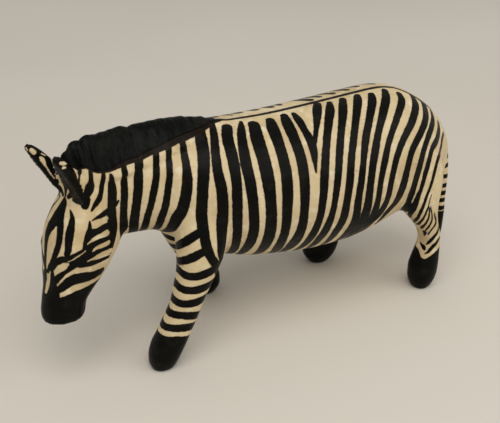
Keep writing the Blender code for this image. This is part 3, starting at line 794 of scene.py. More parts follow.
BARREL_STRIPES = (
    ((24.5, 80, 2.2), (22.7, 62, 2.1), (20.6, 44, 2.0), (18.8, 26, 1.9), (17.7, 5, 1.9), (17.1, -13, 1.9),
     (17.5, -22, 1.4), (18.9, -31, 1.2)),
    ((31, 86, 1.0), (29.8, 78, 1.25), (26.9, 60, 1.45), (25.4, 44, 1.65), (25.4, 27, 1.9), (25, 9, 1.9),
     (24.2, -10, 2.1), (23.5, -27, 1.9), (23.3, -36, 0.5)),
    ((35.7, 79, 1.85), (33.1, 67, 2.05), (32, 50, 2.0), (31.3, 35, 1.8), (30.5, 18, 1.8), (30.1, 0, 1.7),
     (30.6, -22, 1.55), (31.4, -41, 1.45), (32, -66, 0.9)),
    ((42.5, 83, 0.4), (40.3, 74, 1.35), (38.4, 65, 1.65), (36.6, 49, 2.0), (36.3, 33, 2.0), (36.3, 9, 1.85),
     (36.5, -10, 1.9), (36.2, -26, 2.05), (35.7, -42, 1.7), (36, -68, 0.8)),
    ((46.3, 77, 2.1), (44.2, 62, 2.5), (43.6, 46, 2.4), (43.3, 31, 2.4), (43.2, 15, 2.05), (43.2, -3, 2.15),
     (43.1, -25, 2.3), (42.8, -42, 2.0), (42.5, -70, 1.0)),
    ((53.6, 78, 1.6), (52.3, 68, 2.3), (51.4, 51, 2.05), (51, 35, 2.1), (50.3, 20, 2.1), (49.6, 3, 1.95),
     (49.5, -16, 1.8), (49.3, -36, 2.05), (49.7, -50, 1.9), (49.5, -74, 0.9)),
    ((60.2, 80, 1.4), (59, 70, 2.15), (58.4, 56, 2.05), (58.2, 40, 2.0), (57.3, 16, 1.9), (56.8, 0, 1.7),
     (56.4, -20, 2.1), (55.4, -36, 2.6), (54.5, -52, 2.0), (54, -74, 0.9)),
    ((64.3, 80, 0.8), (64.2, 72, 1.5), (64.1, 62, 1.35), (64.4, 53, 1.6), (64.2, 45, 1.55), (63.5, 37, 0.95),
     (62.9, 28, 0.15)),
    ((76.5, 85, 1.3), (74.2, 78, 1.75), (71.1, 68, 1.25), (68.7, 60, 0.85), (66, 51, 0.8)),
    ((81.4, 83, 0.9), (79.1, 75, 1.65), (75.9, 66, 1.55), (71, 50, 1.4), (67.8, 35, 1.55), (65.9, 21, 1.7),
     (64.7, 5, 1.55), (63.7, -13, 1.55), (62.4, -30, 1.9), (61, -48, 1.6), (60, -70, 0.8)),
    ((87.5, 83, 1.2), (84, 72, 1.65), (78.6, 55, 1.3), (74.9, 40, 1.45), (72.6, 26, 1.4), (70.7, 10, 1.35),
     (69.5, -6, 1.3), (68, -26, 2.0), (66.5, -42, 1.9), (65.5, -68, 0.8)),
    ((94.3, 83, 1.1), (92.5, 77, 1.6), (86.4, 60, 1.35), (81.9, 45, 1.35), (78.8, 31, 1.4), (77, 16, 1.6),
     (75.6, 0, 1.55), (74.9, -19, 1.9), (73.5, -35, 1.9), (72, -66, 0.9)),
    ((100, 80, 1.2), (98.1, 73, 1.6), (91.9, 57, 1.35), (87.1, 43, 1.45), (84.2, 29, 1.25), (82.2, 14, 1.4),
     (80.8, -3, 1.55), (81.2, -23, 1.8), (80, -42, 1.8), (78.5, -70, 0.8)),
    ((107.2, 82, 1.1), (104.8, 73, 1.6), (100.3, 62, 1.6), (94.2, 47, 1.3), (90.1, 33, 1.55), (87.4, 19, 1.55),
     (86, 3, 1.6), (85.7, -16, 2.1), (85.2, -33, 2.4), (84, -50, 2.0), (83, -72, 0.8)),
    ((112.5, 76, 1.2), (110.8, 67, 1.5), (103.6, 51, 1.25), (97.5, 37, 1.15), (93.8, 23, 1.4), (91.3, 8, 1.25),
     (90.6, -9, 1.3), (90.2, -24, 1.9), (88.5, -38, 1.8), (87.5, -60, 0.8)),
    ((120.2, 79, 1.2), (118, 65, 1.7), (111.8, 49, 1.6), (104.1, 34, 1.35), (99.1, 20, 1.35), (96.5, 4, 1.3),
     (95.5, -14, 1.45), (93.6, -28, 1.9), (91.5, -40, 1.2), (90.5, -58, 0.6)),
    ((125.3, 74, 1.6), (123.2, 62, 1.8), (119.8, 49, 1.7), (115.4, 39, 1.55), (108, 24, 1.5), (104.6, 8, 1.55),
     (102.7, -10, 2.05), (101.2, -22, 1.9), (98, -32, 1.8), (96, -46, 0.8)),
    ((128.6, 66, 1.1), (126.1, 53, 1.4), (121.7, 40, 1.5), (114.7, 21, 1.55), (111.1, 3, 1.8),
     (109.5, -11, 1.5), (109, -20, 1.4), (108.9, -28, 1.1), (109.4, -39, 1.1)),
    ((131.5, 56, 1.0), (129.4, 44, 1.5), (125.2, 30, 1.6), (120.1, 19, 1.3), (115.8, 0, 1.2),
     (114.2, -9, 0.85), (112.9, -17, 0.75), (112.2, -21, 0.9), (111.5, -28, 1.1), (111.2, -36, 1.1)),
    ((134.5, 45, 0.6), (131, 32, 1.0), (128, 18, 1.0), (123.1, 8, 0.8), (118.8, -10, 0.6), (116.4, -21, 0.55),
     (115.2, -28, 0.55), (114.1, -37, 0.5)),
)
SPINE_LINE = ((34, 89, 0.5), (52, 88.5, 0.7), (79, 89, 0.75), (107, 88, 0.75), (115.4, 84, 0.75),
              (119.5, 80, 0.8), (123.7, 76, 0.9), (129.7, 73, 0.9))

# On the head a place is a height and the angle round it: 0 is the middle of the face, 90 a cheek.
FACE_STRIPES = (
    ((71.9, -1, 0.2), (70.1, 1, 1.3), (68.5, 2, 1.8), (66.5, 3, 2.5), (64.3, 3.5, 3.3), (62.8, 4, 3.8),
     (60.5, 4.5, 4.1), (58, 4.5, 3.9), (54.5, 3, 3.3), (51.5, 1, 2.7), (49.6, -1, 2.0), (47.6, -2, 1.3)),
    ((71.5, -13, 0.05), (69, -18, 0.2), (66, -22, 0.4), (62, -25, 0.5), (57, -26, 0.5), (50, -25, 0.3)),
    ((46.5, -7, 0.8), (43, -9, 1.2), (40, -12, 1.6), (36, -14, 2.2)),
    ((48.5, 7, 0.6), (46, 8, 1.3), (43.5, 8, 1.9), (41, 9, 2.6), (37, 10, 3.6)),
)
CHEEK_STRIPES = (
    ((69, 17, 0.05), (67.7, 22, 0.4), (66.2, 25, 0.75), (63.2, 27, 1.2), (60.4, 28, 1.25), (57.3, 29, 1.05),
     (54.7, 29, 0.9)),
    ((65.1, 55, 0.05), (65.6, 64, 0.4), (65.9, 73, 0.8), (66.4, 83, 1.0), (67.2, 92, 0.7)),
    ((65.0, 51, 0.1), (62.8, 54, 0.6), (60, 56, 1.4), (56.5, 57, 1.9), (53.5, 58, 2.2), (51, 60, 2.0)),
    ((60.4, 60, 1.5), (60.6, 70, 1.35), (61.0, 82, 1.2), (61.2, 104, 1.1)),
    ((56.4, 62, 1.5), (56.4, 75, 1.3), (56.4, 90, 1.0), (56.2, 108, 0.8)),
    ((52.7, 62, 1.5), (52.6, 75, 1.2), (52.5, 90, 0.9), (52.4, 113, 0.7)),
    ((50.4, 50, 1.3), (49.7, 62, 1.2), (49.1, 76, 0.9), (48.8, 92, 0.7), (48.3, 117, 0.5)),
    ((40.2, 17, 1.2), (42.0, 26, 1.6), (43.5, 33, 2.0), (44.5, 41, 2.1), (44.7, 50, 2.1), (44.3, 66, 2.0),
     (43.5, 86, 1.8), (43.2, 114, 1.6)),
    ((43.6, 13, 0.9), (45.2, 18, 0.9), (46.8, 24, 0.9), (48.3, 29, 0.9), (49.6, 35, 1.1), (50.8, 42, 1.3)),
    ((48.2, 9, 0.4), (50, 12, 0.7), (51.6, 16, 0.9), (52.7, 22, 1.2), (53, 28, 1.0), (53.3, 34, 1.1),
     (53.8, 40, 1.4), (54.2, 47, 1.8)),
    ((51.9, 33, 0.7), (52.3, 39, 1.0), (52.8, 47, 1.2)),
)
CHEEK_LIGHTS = (
    ((62.9, 64, 0.85), (63, 70, 0.72), (63.4, 78, 0.5), (63.9, 88, 0.42)),
    ((57.2, 56, 0.05), (57.9, 62, 0.35), (58.3, 68, 0.6), (58.5, 79, 0.7), (58.4, 88, 0.9), (58.3, 96, 0.95)),
    ((53.9, 68, 0.05), (54.5, 75, 0.45), (54.5, 83, 0.6), (54.4, 92, 0.7), (54.4, 103, 0.8)),
    ((50.7, 62, 0.05), (50.8, 70, 0.2), (50.8, 82, 0.8), (50.8, 95, 1.0), (50.5, 108, 1.05), (50.5, 116, 0.9)),
    ((42.6, 20, 0.05), (45, 27, 0.2), (46.7, 33, 0.4), (47.8, 41, 0.6), (48.2, 52, 0.5), (47.5, 66, 0.7),
     (46.6, 86, 0.95), (46.2, 101, 1.1), (46, 115, 1.15)),
    ((38.9, 33, 0.05), (39.8, 37, 0.2), (40.9, 44, 0.45), (41.1, 55, 0.65), (41.0, 69, 0.7), (40.9, 85, 0.7),
     (40.8, 101, 0.65), (40.9, 118, 0.65)),
    ((46.5, 14, 0.05), (48.3, 18, 0.7), (49.6, 23, 1.05), (50.5, 27, 1.0), (51.2, 31, 0.4)),
    ((52.2, 32, 0.05), (52.8, 37, 0.15), (53.7, 42, 0.22), (54, 46, 0.15), (54.4, 50, 0.05), (54.9, 54, 0.05)),
)
FACE_LIGHTS = (
    ((63.6, 7, 0.1), (62.2, 7, 0.7), (60.5, 6, 1.35), (58.2, 5, 1.6), (55.3, 3, 1.4), (52.3, 1, 0.95),
     (49.2, -2, 0.3), (47.8, -3, 0.05)),
    ((47.3, 5, 0.05), (44.1, 2, 0.55), (41.2, -2, 0.75), (38.5, -6, 0.5)),
)
MUZZLE_LINE = ((-180, 39.7), (-99, 39.7), (-79, 39.6), (-55, 39.6), (-33, 38.2), (-8, 36.9),
               (8, 36.9), (33, 38.2), (55, 39.6), (79, 39.6), (99, 39.7), (180, 39.7))


def flowing(rows):
    """A stroke's rows made finer on a smooth curve through them."""
    rows = np.array(rows, float)
    padded = np.vstack([2 * rows[0] - rows[1], rows, 2 * rows[-1] - rows[-2]])
    t = np.arange(STROKE_STEPS)[:, None] / STROKE_STEPS
    pieces = []
    for a, b, c, d in zip(padded, padded[1:], padded[2:], padded[3:]):
        square, cube = 2 * a - 5 * b + 4 * c - d, 3 * b - a - 3 * c + d
        pieces.append(0.5 * (2 * b + (c - a) * t + square * t**2 + cube * t**3))
    return np.vstack(pieces + [rows[-1:]])


def skin_tree(mesh):
    """The carving's surface, for strokes to be laid on."""
    corners = np.empty(len(mesh.polygons) * 3, int)
    mesh.polygons.foreach_get("vertices", corners)
    return BVHTree.FromPolygons(positions(mesh).tolist(), corners.reshape(-1, 3).tolist())


class Paint:
    """The paint at some points of a carving: how far each lies from the nearest black, in units."""

    REACH = 3.0

    def __init__(self, skin, points):
        self.skin = skin
        self.points = points
        self.ink = np.full(len(self.points), self.REACH)

    def laid(self, starts, ways, limit):
        """Where rays from inside the figure come out of it, within the limit; a stroke is lifted elsewhere."""
        hits = []
        for start, way in zip(starts, ways):
            place = self.skin.ray_cast(Vector(start), Vector(way), limit)[0]
            hits.append((math.nan,) * 3 if place is None else place)
        return np.array(hits)

    def on_body(self, rows, side):
        x, angle = rows[:, 0], np.radians(rows[:, 1])
        start = np.column_stack([x, 0 * x, trunk_widest(x)])
        ahead = start + np.column_stack([0 * x, side * np.cos(angle), np.sin(angle)])
        start, ahead = bent(start), bent(ahead)
        return self.laid(start, ahead - start, BODY_RAY)

    def on_head(self, rows, side):
        z, angle = rows[:, 0], np.radians(rows[:, 1]) * side
        start = np.column_stack([head_middle(z), 0 * z, z])
        ahead = start + np.column_stack([-np.cos(angle), np.sin(angle), 0 * z])
        start, ahead = turned(start), turned(ahead)
        return self.laid(start, ahead - start, HEAD_RAY)

    def on_leg(self, leg):
        def lay(rows, side):
            z, angle = rows[:, 0], np.radians(rows[:, 1])
            start = np.column_stack([*leg_middle(leg, z), z])
            return self.laid(start, np.column_stack([-np.cos(angle), side * np.sin(angle), 0 * z]), LEG_RAY)
        return lay

    def on_tail(self, rows, side):
        z, angle = rows[:, 0], np.radians(rows[:, 1])
        start = np.column_stack([tail_middle(z), 0 * z, z])
        return self.laid(start, np.column_stack([-np.cos(angle), side * np.sin(angle), 0 * z]), TAIL_WIDTH)

    def distance(self, rows, lay, side, among=None):
        """Distance from the edge of a stroke, for the points near it; negative inside it."""
        fine = flowing(rows)
        line = lay(fine, side)
        half = np.maximum(fine[:, 2], THINNEST_STROKE)
        low, high = np.nanmin(line, axis=0) - 2 * self.REACH, np.nanmax(line, axis=0) + 2 * self.REACH
        near = np.all((self.points > low) & (self.points < high), axis=1)
        if among is not None:
            near &= among
        chosen = np.flatnonzero(near)
        points = self.points[chosen]
        best = np.full(len(chosen), self.REACH)
        for a, b, wide_a, wide_b in zip(line, line[1:], half, half[1:]):
            run = b - a
            if np.isnan(run).any():  # the stroke is lifted here
                continue
            t = np.clip((points - a) @ run / max(run @ run, 1e-9), 0.0, 1.0)
            away = np.linalg.norm(points - a - t[:, None] * run, axis=1) - wide_a - t * (wide_b - wide_a)
            best = np.minimum(best, away)
        return chosen, best - BRUSH_SPREAD

    def black(self, strokes, lay, side, among=None):
        for rows in strokes:
            chosen, away = self.distance(rows, lay, side, among)
            self.ink[chosen] = np.minimum(self.ink[chosen], away)

    def cream(self, strokes, lay, side, among=None):
        for rows in strokes:
            chosen, away = self.distance(rows, lay, side, among)
            self.ink[chosen] = np.maximum(self.ink[chosen], -away)

    def black_area(self, away):
        self.ink = np.minimum(self.ink, np.clip(away, -self.REACH, self.REACH))




BAND_SWELL = 0.15  # how much wider and narrower than its mean a band is
BAND_SWELL_START = 130  # where round the leg that begins, in degrees


def leg_band(front, outer, back, half):
    """A band right round a leg, from its heights in front, on the outer side and behind."""
    rows = []
    middle = (front + back) / 2.0
    for angle in range(0, 361, 45):
        level = middle + (front - back) / 2.0 * math.cos(math.radians(angle))
        bow = (outer - middle) * abs(math.sin(math.radians(angle)))
        swell = BAND_SWELL * math.cos(math.radians(2 * angle + BAND_SWELL_START))
        rows.append((level + bow, angle, half * (1.0 + swell)))
    return tuple(rows)


FORE_BANDS = (
    leg_band(39.3, 38.9, 42.0, 1.5),
    leg_band(33.7, 32.9, 34.2, 1.4),
    leg_band(27.9, 27.7, 28.2, 1.4),
    leg_band(22.9, 22.6, 19.9, 1.35),
    leg_band(18.0, 18.0, 16.1, 1.35),
)
FORE_STRIPES = (
    ((46.6, -16, 0.9), (48.3, 2, 1.3), (51.1, 26, 1.5), (53.2, 42, 1.5), (54.5, 54, 1.4), (55.5, 66, 1.3)),
    ((42.0, -16, 0.9), (42.6, 3, 1.2), (44.9, 34, 1.45), (46.5, 52, 1.5), (47.8, 67, 1.4)),
    ((52.2, 68, 1.4), (48.4, 76, 1.5), (44.4, 94, 1.5), (40.5, 121, 1.5), (37, 140, 1.2)),
)
HIND_STRIPES = (
    ((46.1, 37, 0.9), (43.9, 31, 1.2), (41.2, 20, 1.5), (39, 5, 1.2), (38, -10, 0.8)),
    ((43.6, 46, 1.2), (40.9, 38, 1.05), (37, 17, 0.8), (34.8, 0, 0.5)),
    ((41, 63, 0.5), (38.4, 53, 0.5), (35.8, 40, 0.55), (33.1, 15, 0.45), (32, 0, 0.3)),
    ((47, 98, 0.05), (44.5, 92, 0.05), (42.7, 89, 0.05), (41, 84, 0.1)),
    ((41.4, 85, 0.2), (40.5, 82, 0.35), (38.2, 72, 0.3), (35.6, 57, 0.35), (32.9, 36, 0.45), (31.4, 15, 0.3)),
    ((41.8, 90, 0.05), (40.3, 90, 0.15), (38.8, 88, 0.2), (36.8, 83, 0.25), (35.4, 76, 0.3), (33.8, 66, 0.3),
     (31.9, 50, 0.4), (30.1, 33, 0.5)),
    ((41.6, 96, 0.05), (40, 97, 0.1), (37.4, 97, 0.12), (34.9, 92, 0.25), (32.6, 77, 0.3), (30.3, 59, 0.2),
     (28.8, 46, 0.05)),
    ((38, 108, 0.05), (35.8, 109, 0.25), (34.1, 111, 0.4), (32.3, 103, 0.4), (30.7, 85, 0.3), (28.6, 66, 0.15),
     (27, 53, 0.05)),
    ((28.1, 41, 0.8), (26.9, 36, 0.5), (25.7, 30, 0.05)),
    ((29.5, 120, 0.7), (28.2, 105, 0.65), (27.5, 97, 0.6), (25.8, 78, 0.55), (24.3, 64, 0.55), (22.5, 49, 0.4),
     (21.5, 38, 0.05)),
    ((24.5, 114, 0.5), (23.7, 100, 0.55), (22.5, 89, 0.6), (21.3, 75, 0.65), (19.9, 64, 0.55), (18.5, 55, 0.4),
     (17.5, 43, 0.05)),
    ((21, -4, 0.1), (20.4, 12, 0.5), (19.9, 28, 0.8), (19.3, 36, 0.4)),
)
LEG_STROKES = {"fore": FORE_BANDS + FORE_STRIPES, "hind": HIND_STRIPES}
# The angle round a leg and the height where the hoof's black begins.
HOOF_EDGES = {
    "fore": ((-180, 12.8), (-60, 14.6), (0, 15.0), (67, 15.3), (110, 14.2), (157, 12.6), (180, 12.8)),
    "hind": ((-180, 19.7), (-100, 19.2), (-45, 18.5), (-16, 18.2), (0, 17.9), (18, 16.8), (30, 15.7),
             (45, 15.3), (57, 15.9), (67, 16.8), (79, 17.8), (97, 19), (110, 19.7), (180, 19.7)),
}
LEG_REACH = 12.0  # how far from a leg's middle line its own surface may lie
TAIL_BANDS = (52.9, 49.4, 44.8, 39.4, 34.8, 31.0, 27.4, 23.6)
TAIL_BAND_HALF = 0.85  # half a band's height
TUFT_TOP = 22.0  # height where the tail's black tuft begins
TUFT_PLACE = (141.0, 40.0)  # what lies behind the first and under the second is tail
MUZZLE_PLACE = (-14.0, 13.0)  # what lies before the first, and within the second of the middle, is head
MANE_PLACE = (-31.0, 38.0, 70.0)  # the mane's paint lies between the first two along x, above the third


def paint_head(paint, head):
    """The black of the head and the muzzle, then the cream strokes over it."""
    for side in (-1, 1):
        paint.black(CHEEK_STRIPES, paint.on_head, side)
        paint.black(EAR_ROOTS, paint.on_head, side)
    paint.black(FACE_STRIPES, paint.on_head, -1)
    azimuth = np.degrees(np.arctan2(-head[:, 1], head_middle(head[:, 2]) - head[:, 0]))
    line = np.array(MUZZLE_LINE)
    limit = np.interp(azimuth, line[:, 0], line[:, 1])
    on_muzzle = (head[:, 0] < MUZZLE_PLACE[0]) & (np.abs(head[:, 1]) < MUZZLE_PLACE[1])
    paint.black_area(np.where(on_muzzle, head[:, 2] - limit, Paint.REACH))
    for side in (-1, 1):
        paint.cream(CHEEK_LIGHTS, paint.on_head, side)
    paint.cream(FACE_LIGHTS, paint.on_head, -1)


def paint_leg(paint, leg, side):
    """A leg's strokes, and the black of its hoof up to an edge that rises and falls round it."""
    kind = leg.split("_")[1]
    paint.black(LEG_STROKES[kind], paint.on_leg(leg), side)
    z = paint.points[:, 2]
    x, y = leg_middle(leg, z)
    forward, aside = x - paint.points[:, 0], paint.points[:, 1] - y
    azimuth = np.degrees(np.arctan2(side * aside, forward))
    edge = np.array(HOOF_EDGES[kind])
    hoof = z - np.interp(azimuth, edge[:, 0], edge[:, 1])
    paint.black_area(np.where(np.hypot(forward, aside) < LEG_REACH, hoof, Paint.REACH))


def paint_tail(paint):
    for level in TAIL_BANDS:
        band = tuple((level, angle, TAIL_BAND_HALF) for angle in range(0, 361, 60))
        paint.black((band,), paint.on_tail, -1)
    on_tail = (paint.points[:, 0] > TUFT_PLACE[0]) & (paint.points[:, 2] < TUFT_PLACE[1])
    paint.black_area(np.where(on_tail, paint.points[:, 2] - TUFT_TOP, Paint.REACH))


def paint_mane(paint):
    """The mane's black; returns how far each point is inside the brown band under it and inside its hair."""
    straight = unbent(paint.points)
    x, aside, rise = straight[:, 0], straight[:, 1], straight[:, 2] - trunk_widest(straight[:, 0])
    angle = np.degrees(np.arctan2(rise, np.abs(aside)))
    radius = np.hypot(aside, rise)
    on_neck = (x > MANE_PLACE[0]) & (x < MANE_PLACE[1]) & (straight[:, 2] > MANE_PLACE[2])
    below_edge = np.radians(column(MANE_PAINT, 1)(x) - angle) * radius
    above_ledge = np.radians(column(MANE_PAINT, 2)(x) - angle) * radius
    hair = np.where(on_neck, np.clip(-above_ledge, -Paint.REACH, Paint.REACH), -Paint.REACH)
    paint.black_area(np.where(on_neck, below_edge, Paint.REACH))
    band = np.minimum(above_ledge, BAND_FADE - below_edge)
    wash = np.where(on_neck, np.clip(band, -Paint.REACH, Paint.REACH), -Paint.REACH)
    return wash, hair


def painted(skin, points):
    """Every stripe, in the order that they were brushed on."""
    paint = Paint(skin, points)
    for side in (-1, 1):
        paint.black(NECK_STRIPES + BARREL_STRIPES, paint.on_body, side)
    paint.black((SPINE_LINE,), paint.on_body, -1)
    head = turned(paint.points, back=True)
    paint_head(paint, head)
    for leg, (rows, side) in LEGS.items():
        paint_leg(paint, leg, side)
    paint_tail(paint)
    wash, hair = paint_mane(paint)
    grey = np.full(len(paint.points), -Paint.REACH)
    for side in (-1, 1):
        paint_ear(paint, head, side, grey)
    return paint.ink, wash, grey, hair


BAND_FADE = 0.6  # how far the brown under the mane runs on into the stripes
# x, the angle of the lower edge of the mane's paint, the angle of the mane's ledge
MANE_PAINT = (
    (-31, 84, 86),
    (-28, 78, 80),
    (-25, 70, 72),
    (-22.5, 63, 65),
    (-18.2, 55, 58),
    (-14, 54, 57),
    (-9.4, 54, 59),
    (-4.6, 56, 60.5),
    (-0.4, 57, 62),
    (3.6, 60, 65),
    (7.3, 62, 67),
    (11.1, 64.5, 70),
    (15.2, 68, 73),
    (19.4, 71, 76),
    (24.1, 75.5, 79),
    (28, 79, 82),
    (33, 85, 87),
    (38, 89.5, 90),
)

# On an ear a place is a share of its length and a distance behind its middle line.
# These lie on its inner side, and the lights of the tip on its outer side.
EAR_LIGHTS = (
    ((0.97, 0.0, 0.05), (0.93, -0.2, 0.05)),
    ((0.90, 0.8, 0.6), (0.86, 1.1, 0.7)),
    ((0.77, 2.7, 0.05), (0.71, 3.3, 0.05)),
    ((0.745, 1.5, 0.25), (0.71, 1.6, 0.65), (0.67, 1.6, 0.5), (0.62, 1.2, 0.3), (0.55, 1.0, 0.1),
     (0.46, 0.7, 0.05), (0.37, 0.7, 0.05)),
    ((0.66, 4.2, 0.2), (0.60, 4.3, 0.5), (0.54, 3.9, 0.4), (0.50, 3.6, 0.1)),
)
EAR_TIP_LIGHTS = (
    ((0.89, 0.4, 0.4), (0.84, 1.4, 0.5), (0.79, 2.3, 0.3)),
    ((0.815, 0.1, 0.35), (0.78, 0.9, 0.2)),
)
EAR_ROOTS = (((70.3, 36, 1.2), (72, 37, 1.1)),)  # on the head
EAR_EDGE = 0.35  # how far around an ear its paint reaches
EAR_PAINT_START = 1.6  # how far up an ear its black begins
EAR_OVERLAP = 0.2  # how far past the ear's middle a light of one side reaches
SCOOP_PAINT = 0.65  # how far before the ear's middle line its grey begins
# Share of the ear's length, and how far behind its middle line the black begins.
EAR_PAINT_BACK = ((0.0, 0.9), (0.19, 1.1), (0.28, 2.0), (0.40, 1.9), (0.53, 3.4), (0.65, 6.0))


def paint_ear(paint, head, side, grey):
    """Black ears with cream patches inside and near the tip, and a grey scoop."""
    base, along, outward, backward = ear_frame(side)
    away = head - base
    reach, out, back = away @ along, away @ outward, away @ backward
    share = np.clip(reach / EAR_LENGTH, 0.0, 1.0)
    rows = smooth_rows(EAR, EAR_STEP)
    front, behind, width = (np.interp(share, rows[:, 0], rows[:, index]) for index in (1, 2, 3))
    on_ear = (reach > 0.0) & (np.abs(out) < width * EAR_WIDTH / 2.0 + EAR_EDGE)
    on_ear &= (back > -front * EAR_DEPTH - EAR_EDGE) & (back < behind * EAR_DEPTH + EAR_EDGE)
    edge = np.array(EAR_PAINT_BACK)
    on_ear &= back < np.interp(share, edge[:, 0], edge[:, 1])
    paint.black_area(np.where(on_ear, EAR_PAINT_START - reach, Paint.REACH))

    def lay(facing):
        def place(rows, hand):
            start = base + np.outer(rows[:, 0] * EAR_LENGTH, along) + np.outer(rows[:, 1], backward)
            ahead = start + facing * outward
            return paint.laid(turned(start), turned(ahead) - turned(start), EAR_WIDTH)
        return place

    paint.cream(EAR_LIGHTS, lay(-1.0), side, on_ear & (out < EAR_OVERLAP))
    paint.cream(EAR_TIP_LIGHTS, lay(1.0), side, on_ear & (out > -EAR_OVERLAP))
    scoop = np.where(on_ear, -SCOOP_PAINT - back, -Paint.REACH)
    np.maximum(grey, np.clip(scoop, -Paint.REACH, Paint.REACH), out=grey)


class Finish:
    """A material's nodes, made and wired with short calls."""

    def __init__(self, name):
        self.material = bpy.data.materials.new(name)
        self.material.use_nodes = True
        self.tree = self.material.node_tree
        self.shader = self.tree.nodes["Principled BSDF"]

    def put(self, node, socket, value):
        if isinstance(value, bpy.types.NodeSocket):
            self.tree.links.new(value, node.inputs[socket])
        elif value is not None:
            node.inputs[socket].default_value = value

    def add(self, kind, settings=None, output=0, **inputs):
        node = self.tree.nodes.new(kind)
        for name, value in (settings or {}).items():
            setattr(node, name, value)
        for name, value in inputs.items():
            self.put(node, name.replace("_", " ").title(), value)
        return node.outputs[output]

    def sum(self, operation, *values):
        node = self.tree.nodes.new("ShaderNodeMath")
        node.operation = operation
        for index, value in enumerate(values):
            self.put(node, index, value)
        return node.outputs[0]

    def noise(self, scale, detail=2.0, stretch=None, roughness=0.5):
        place = self.place
        if stretch:
            mapping = self.tree.nodes.new("ShaderNodeMapping")
            self.put(mapping, "Vector", place)
            mapping.inputs["Scale"].default_value = stretch
            place = mapping.outputs[0]
        return self.add("ShaderNodeTexNoise", vector=place, scale=scale, detail=detail, roughness=roughness)

    def ramp(self, value, low, high, start=0.0, end=1.0):
        node = self.tree.nodes.new("ShaderNodeMapRange")
        node.interpolation_type = "SMOOTHSTEP"
        for index, entry in enumerate((value, low, high, start, end)):
            self.put(node, index, entry)
        return node.outputs[0]

    def mix(self, share, first, second):
        node = self.tree.nodes.new("ShaderNodeMix")
        node.data_type = "RGBA"
        self.put(node, 0, share)
        self.put(node, 6, first)
        self.put(node, 7, second)
        return node.outputs[2]

    def attribute(self, name):
        node = self.tree.nodes.new("ShaderNodeAttribute")
        node.attribute_name = name
        return node.outputs["Fac"]


CREAM = (0.66, 0.54, 0.33, 1.0)
CREAM_AGED = (0.55, 0.42, 0.23, 1.0)
CREAM_PALE = (0.74, 0.65, 0.45, 1.0)
SPECK = (0.20, 0.12, 0.05, 1.0)
BLACK = (0.0022, 0.0023, 0.0018, 1.0)
BLACK_THIN = (0.008, 0.008, 0.005, 1.0)
BROWN = (0.009, 0.005, 0.0025, 1.0)
GREY = (0.016, 0.015, 0.012, 1.0)
FLOOR_SHADES = ((0.65, 0.61, 0.54, 1.0), (0.69, 0.65, 0.58, 1.0))
PER_MM = 1000.0  # a pattern's scale is in cells to a metre
CUT_STRETCH = (1.0, 0.15, 0.10)  # the knife marks run across the mane
GRAIN_SHARE, RIM_SHARE, DOT_SHARE = 0.22, 0.35, 0.7  # how strongly each darkens the cream
TOOL_DEPTH, BRUSH_DEPTH, PAINT_DEPTH, CUT_DEPTH = 0.55, 0.06, 0.03, 3.4  # in units


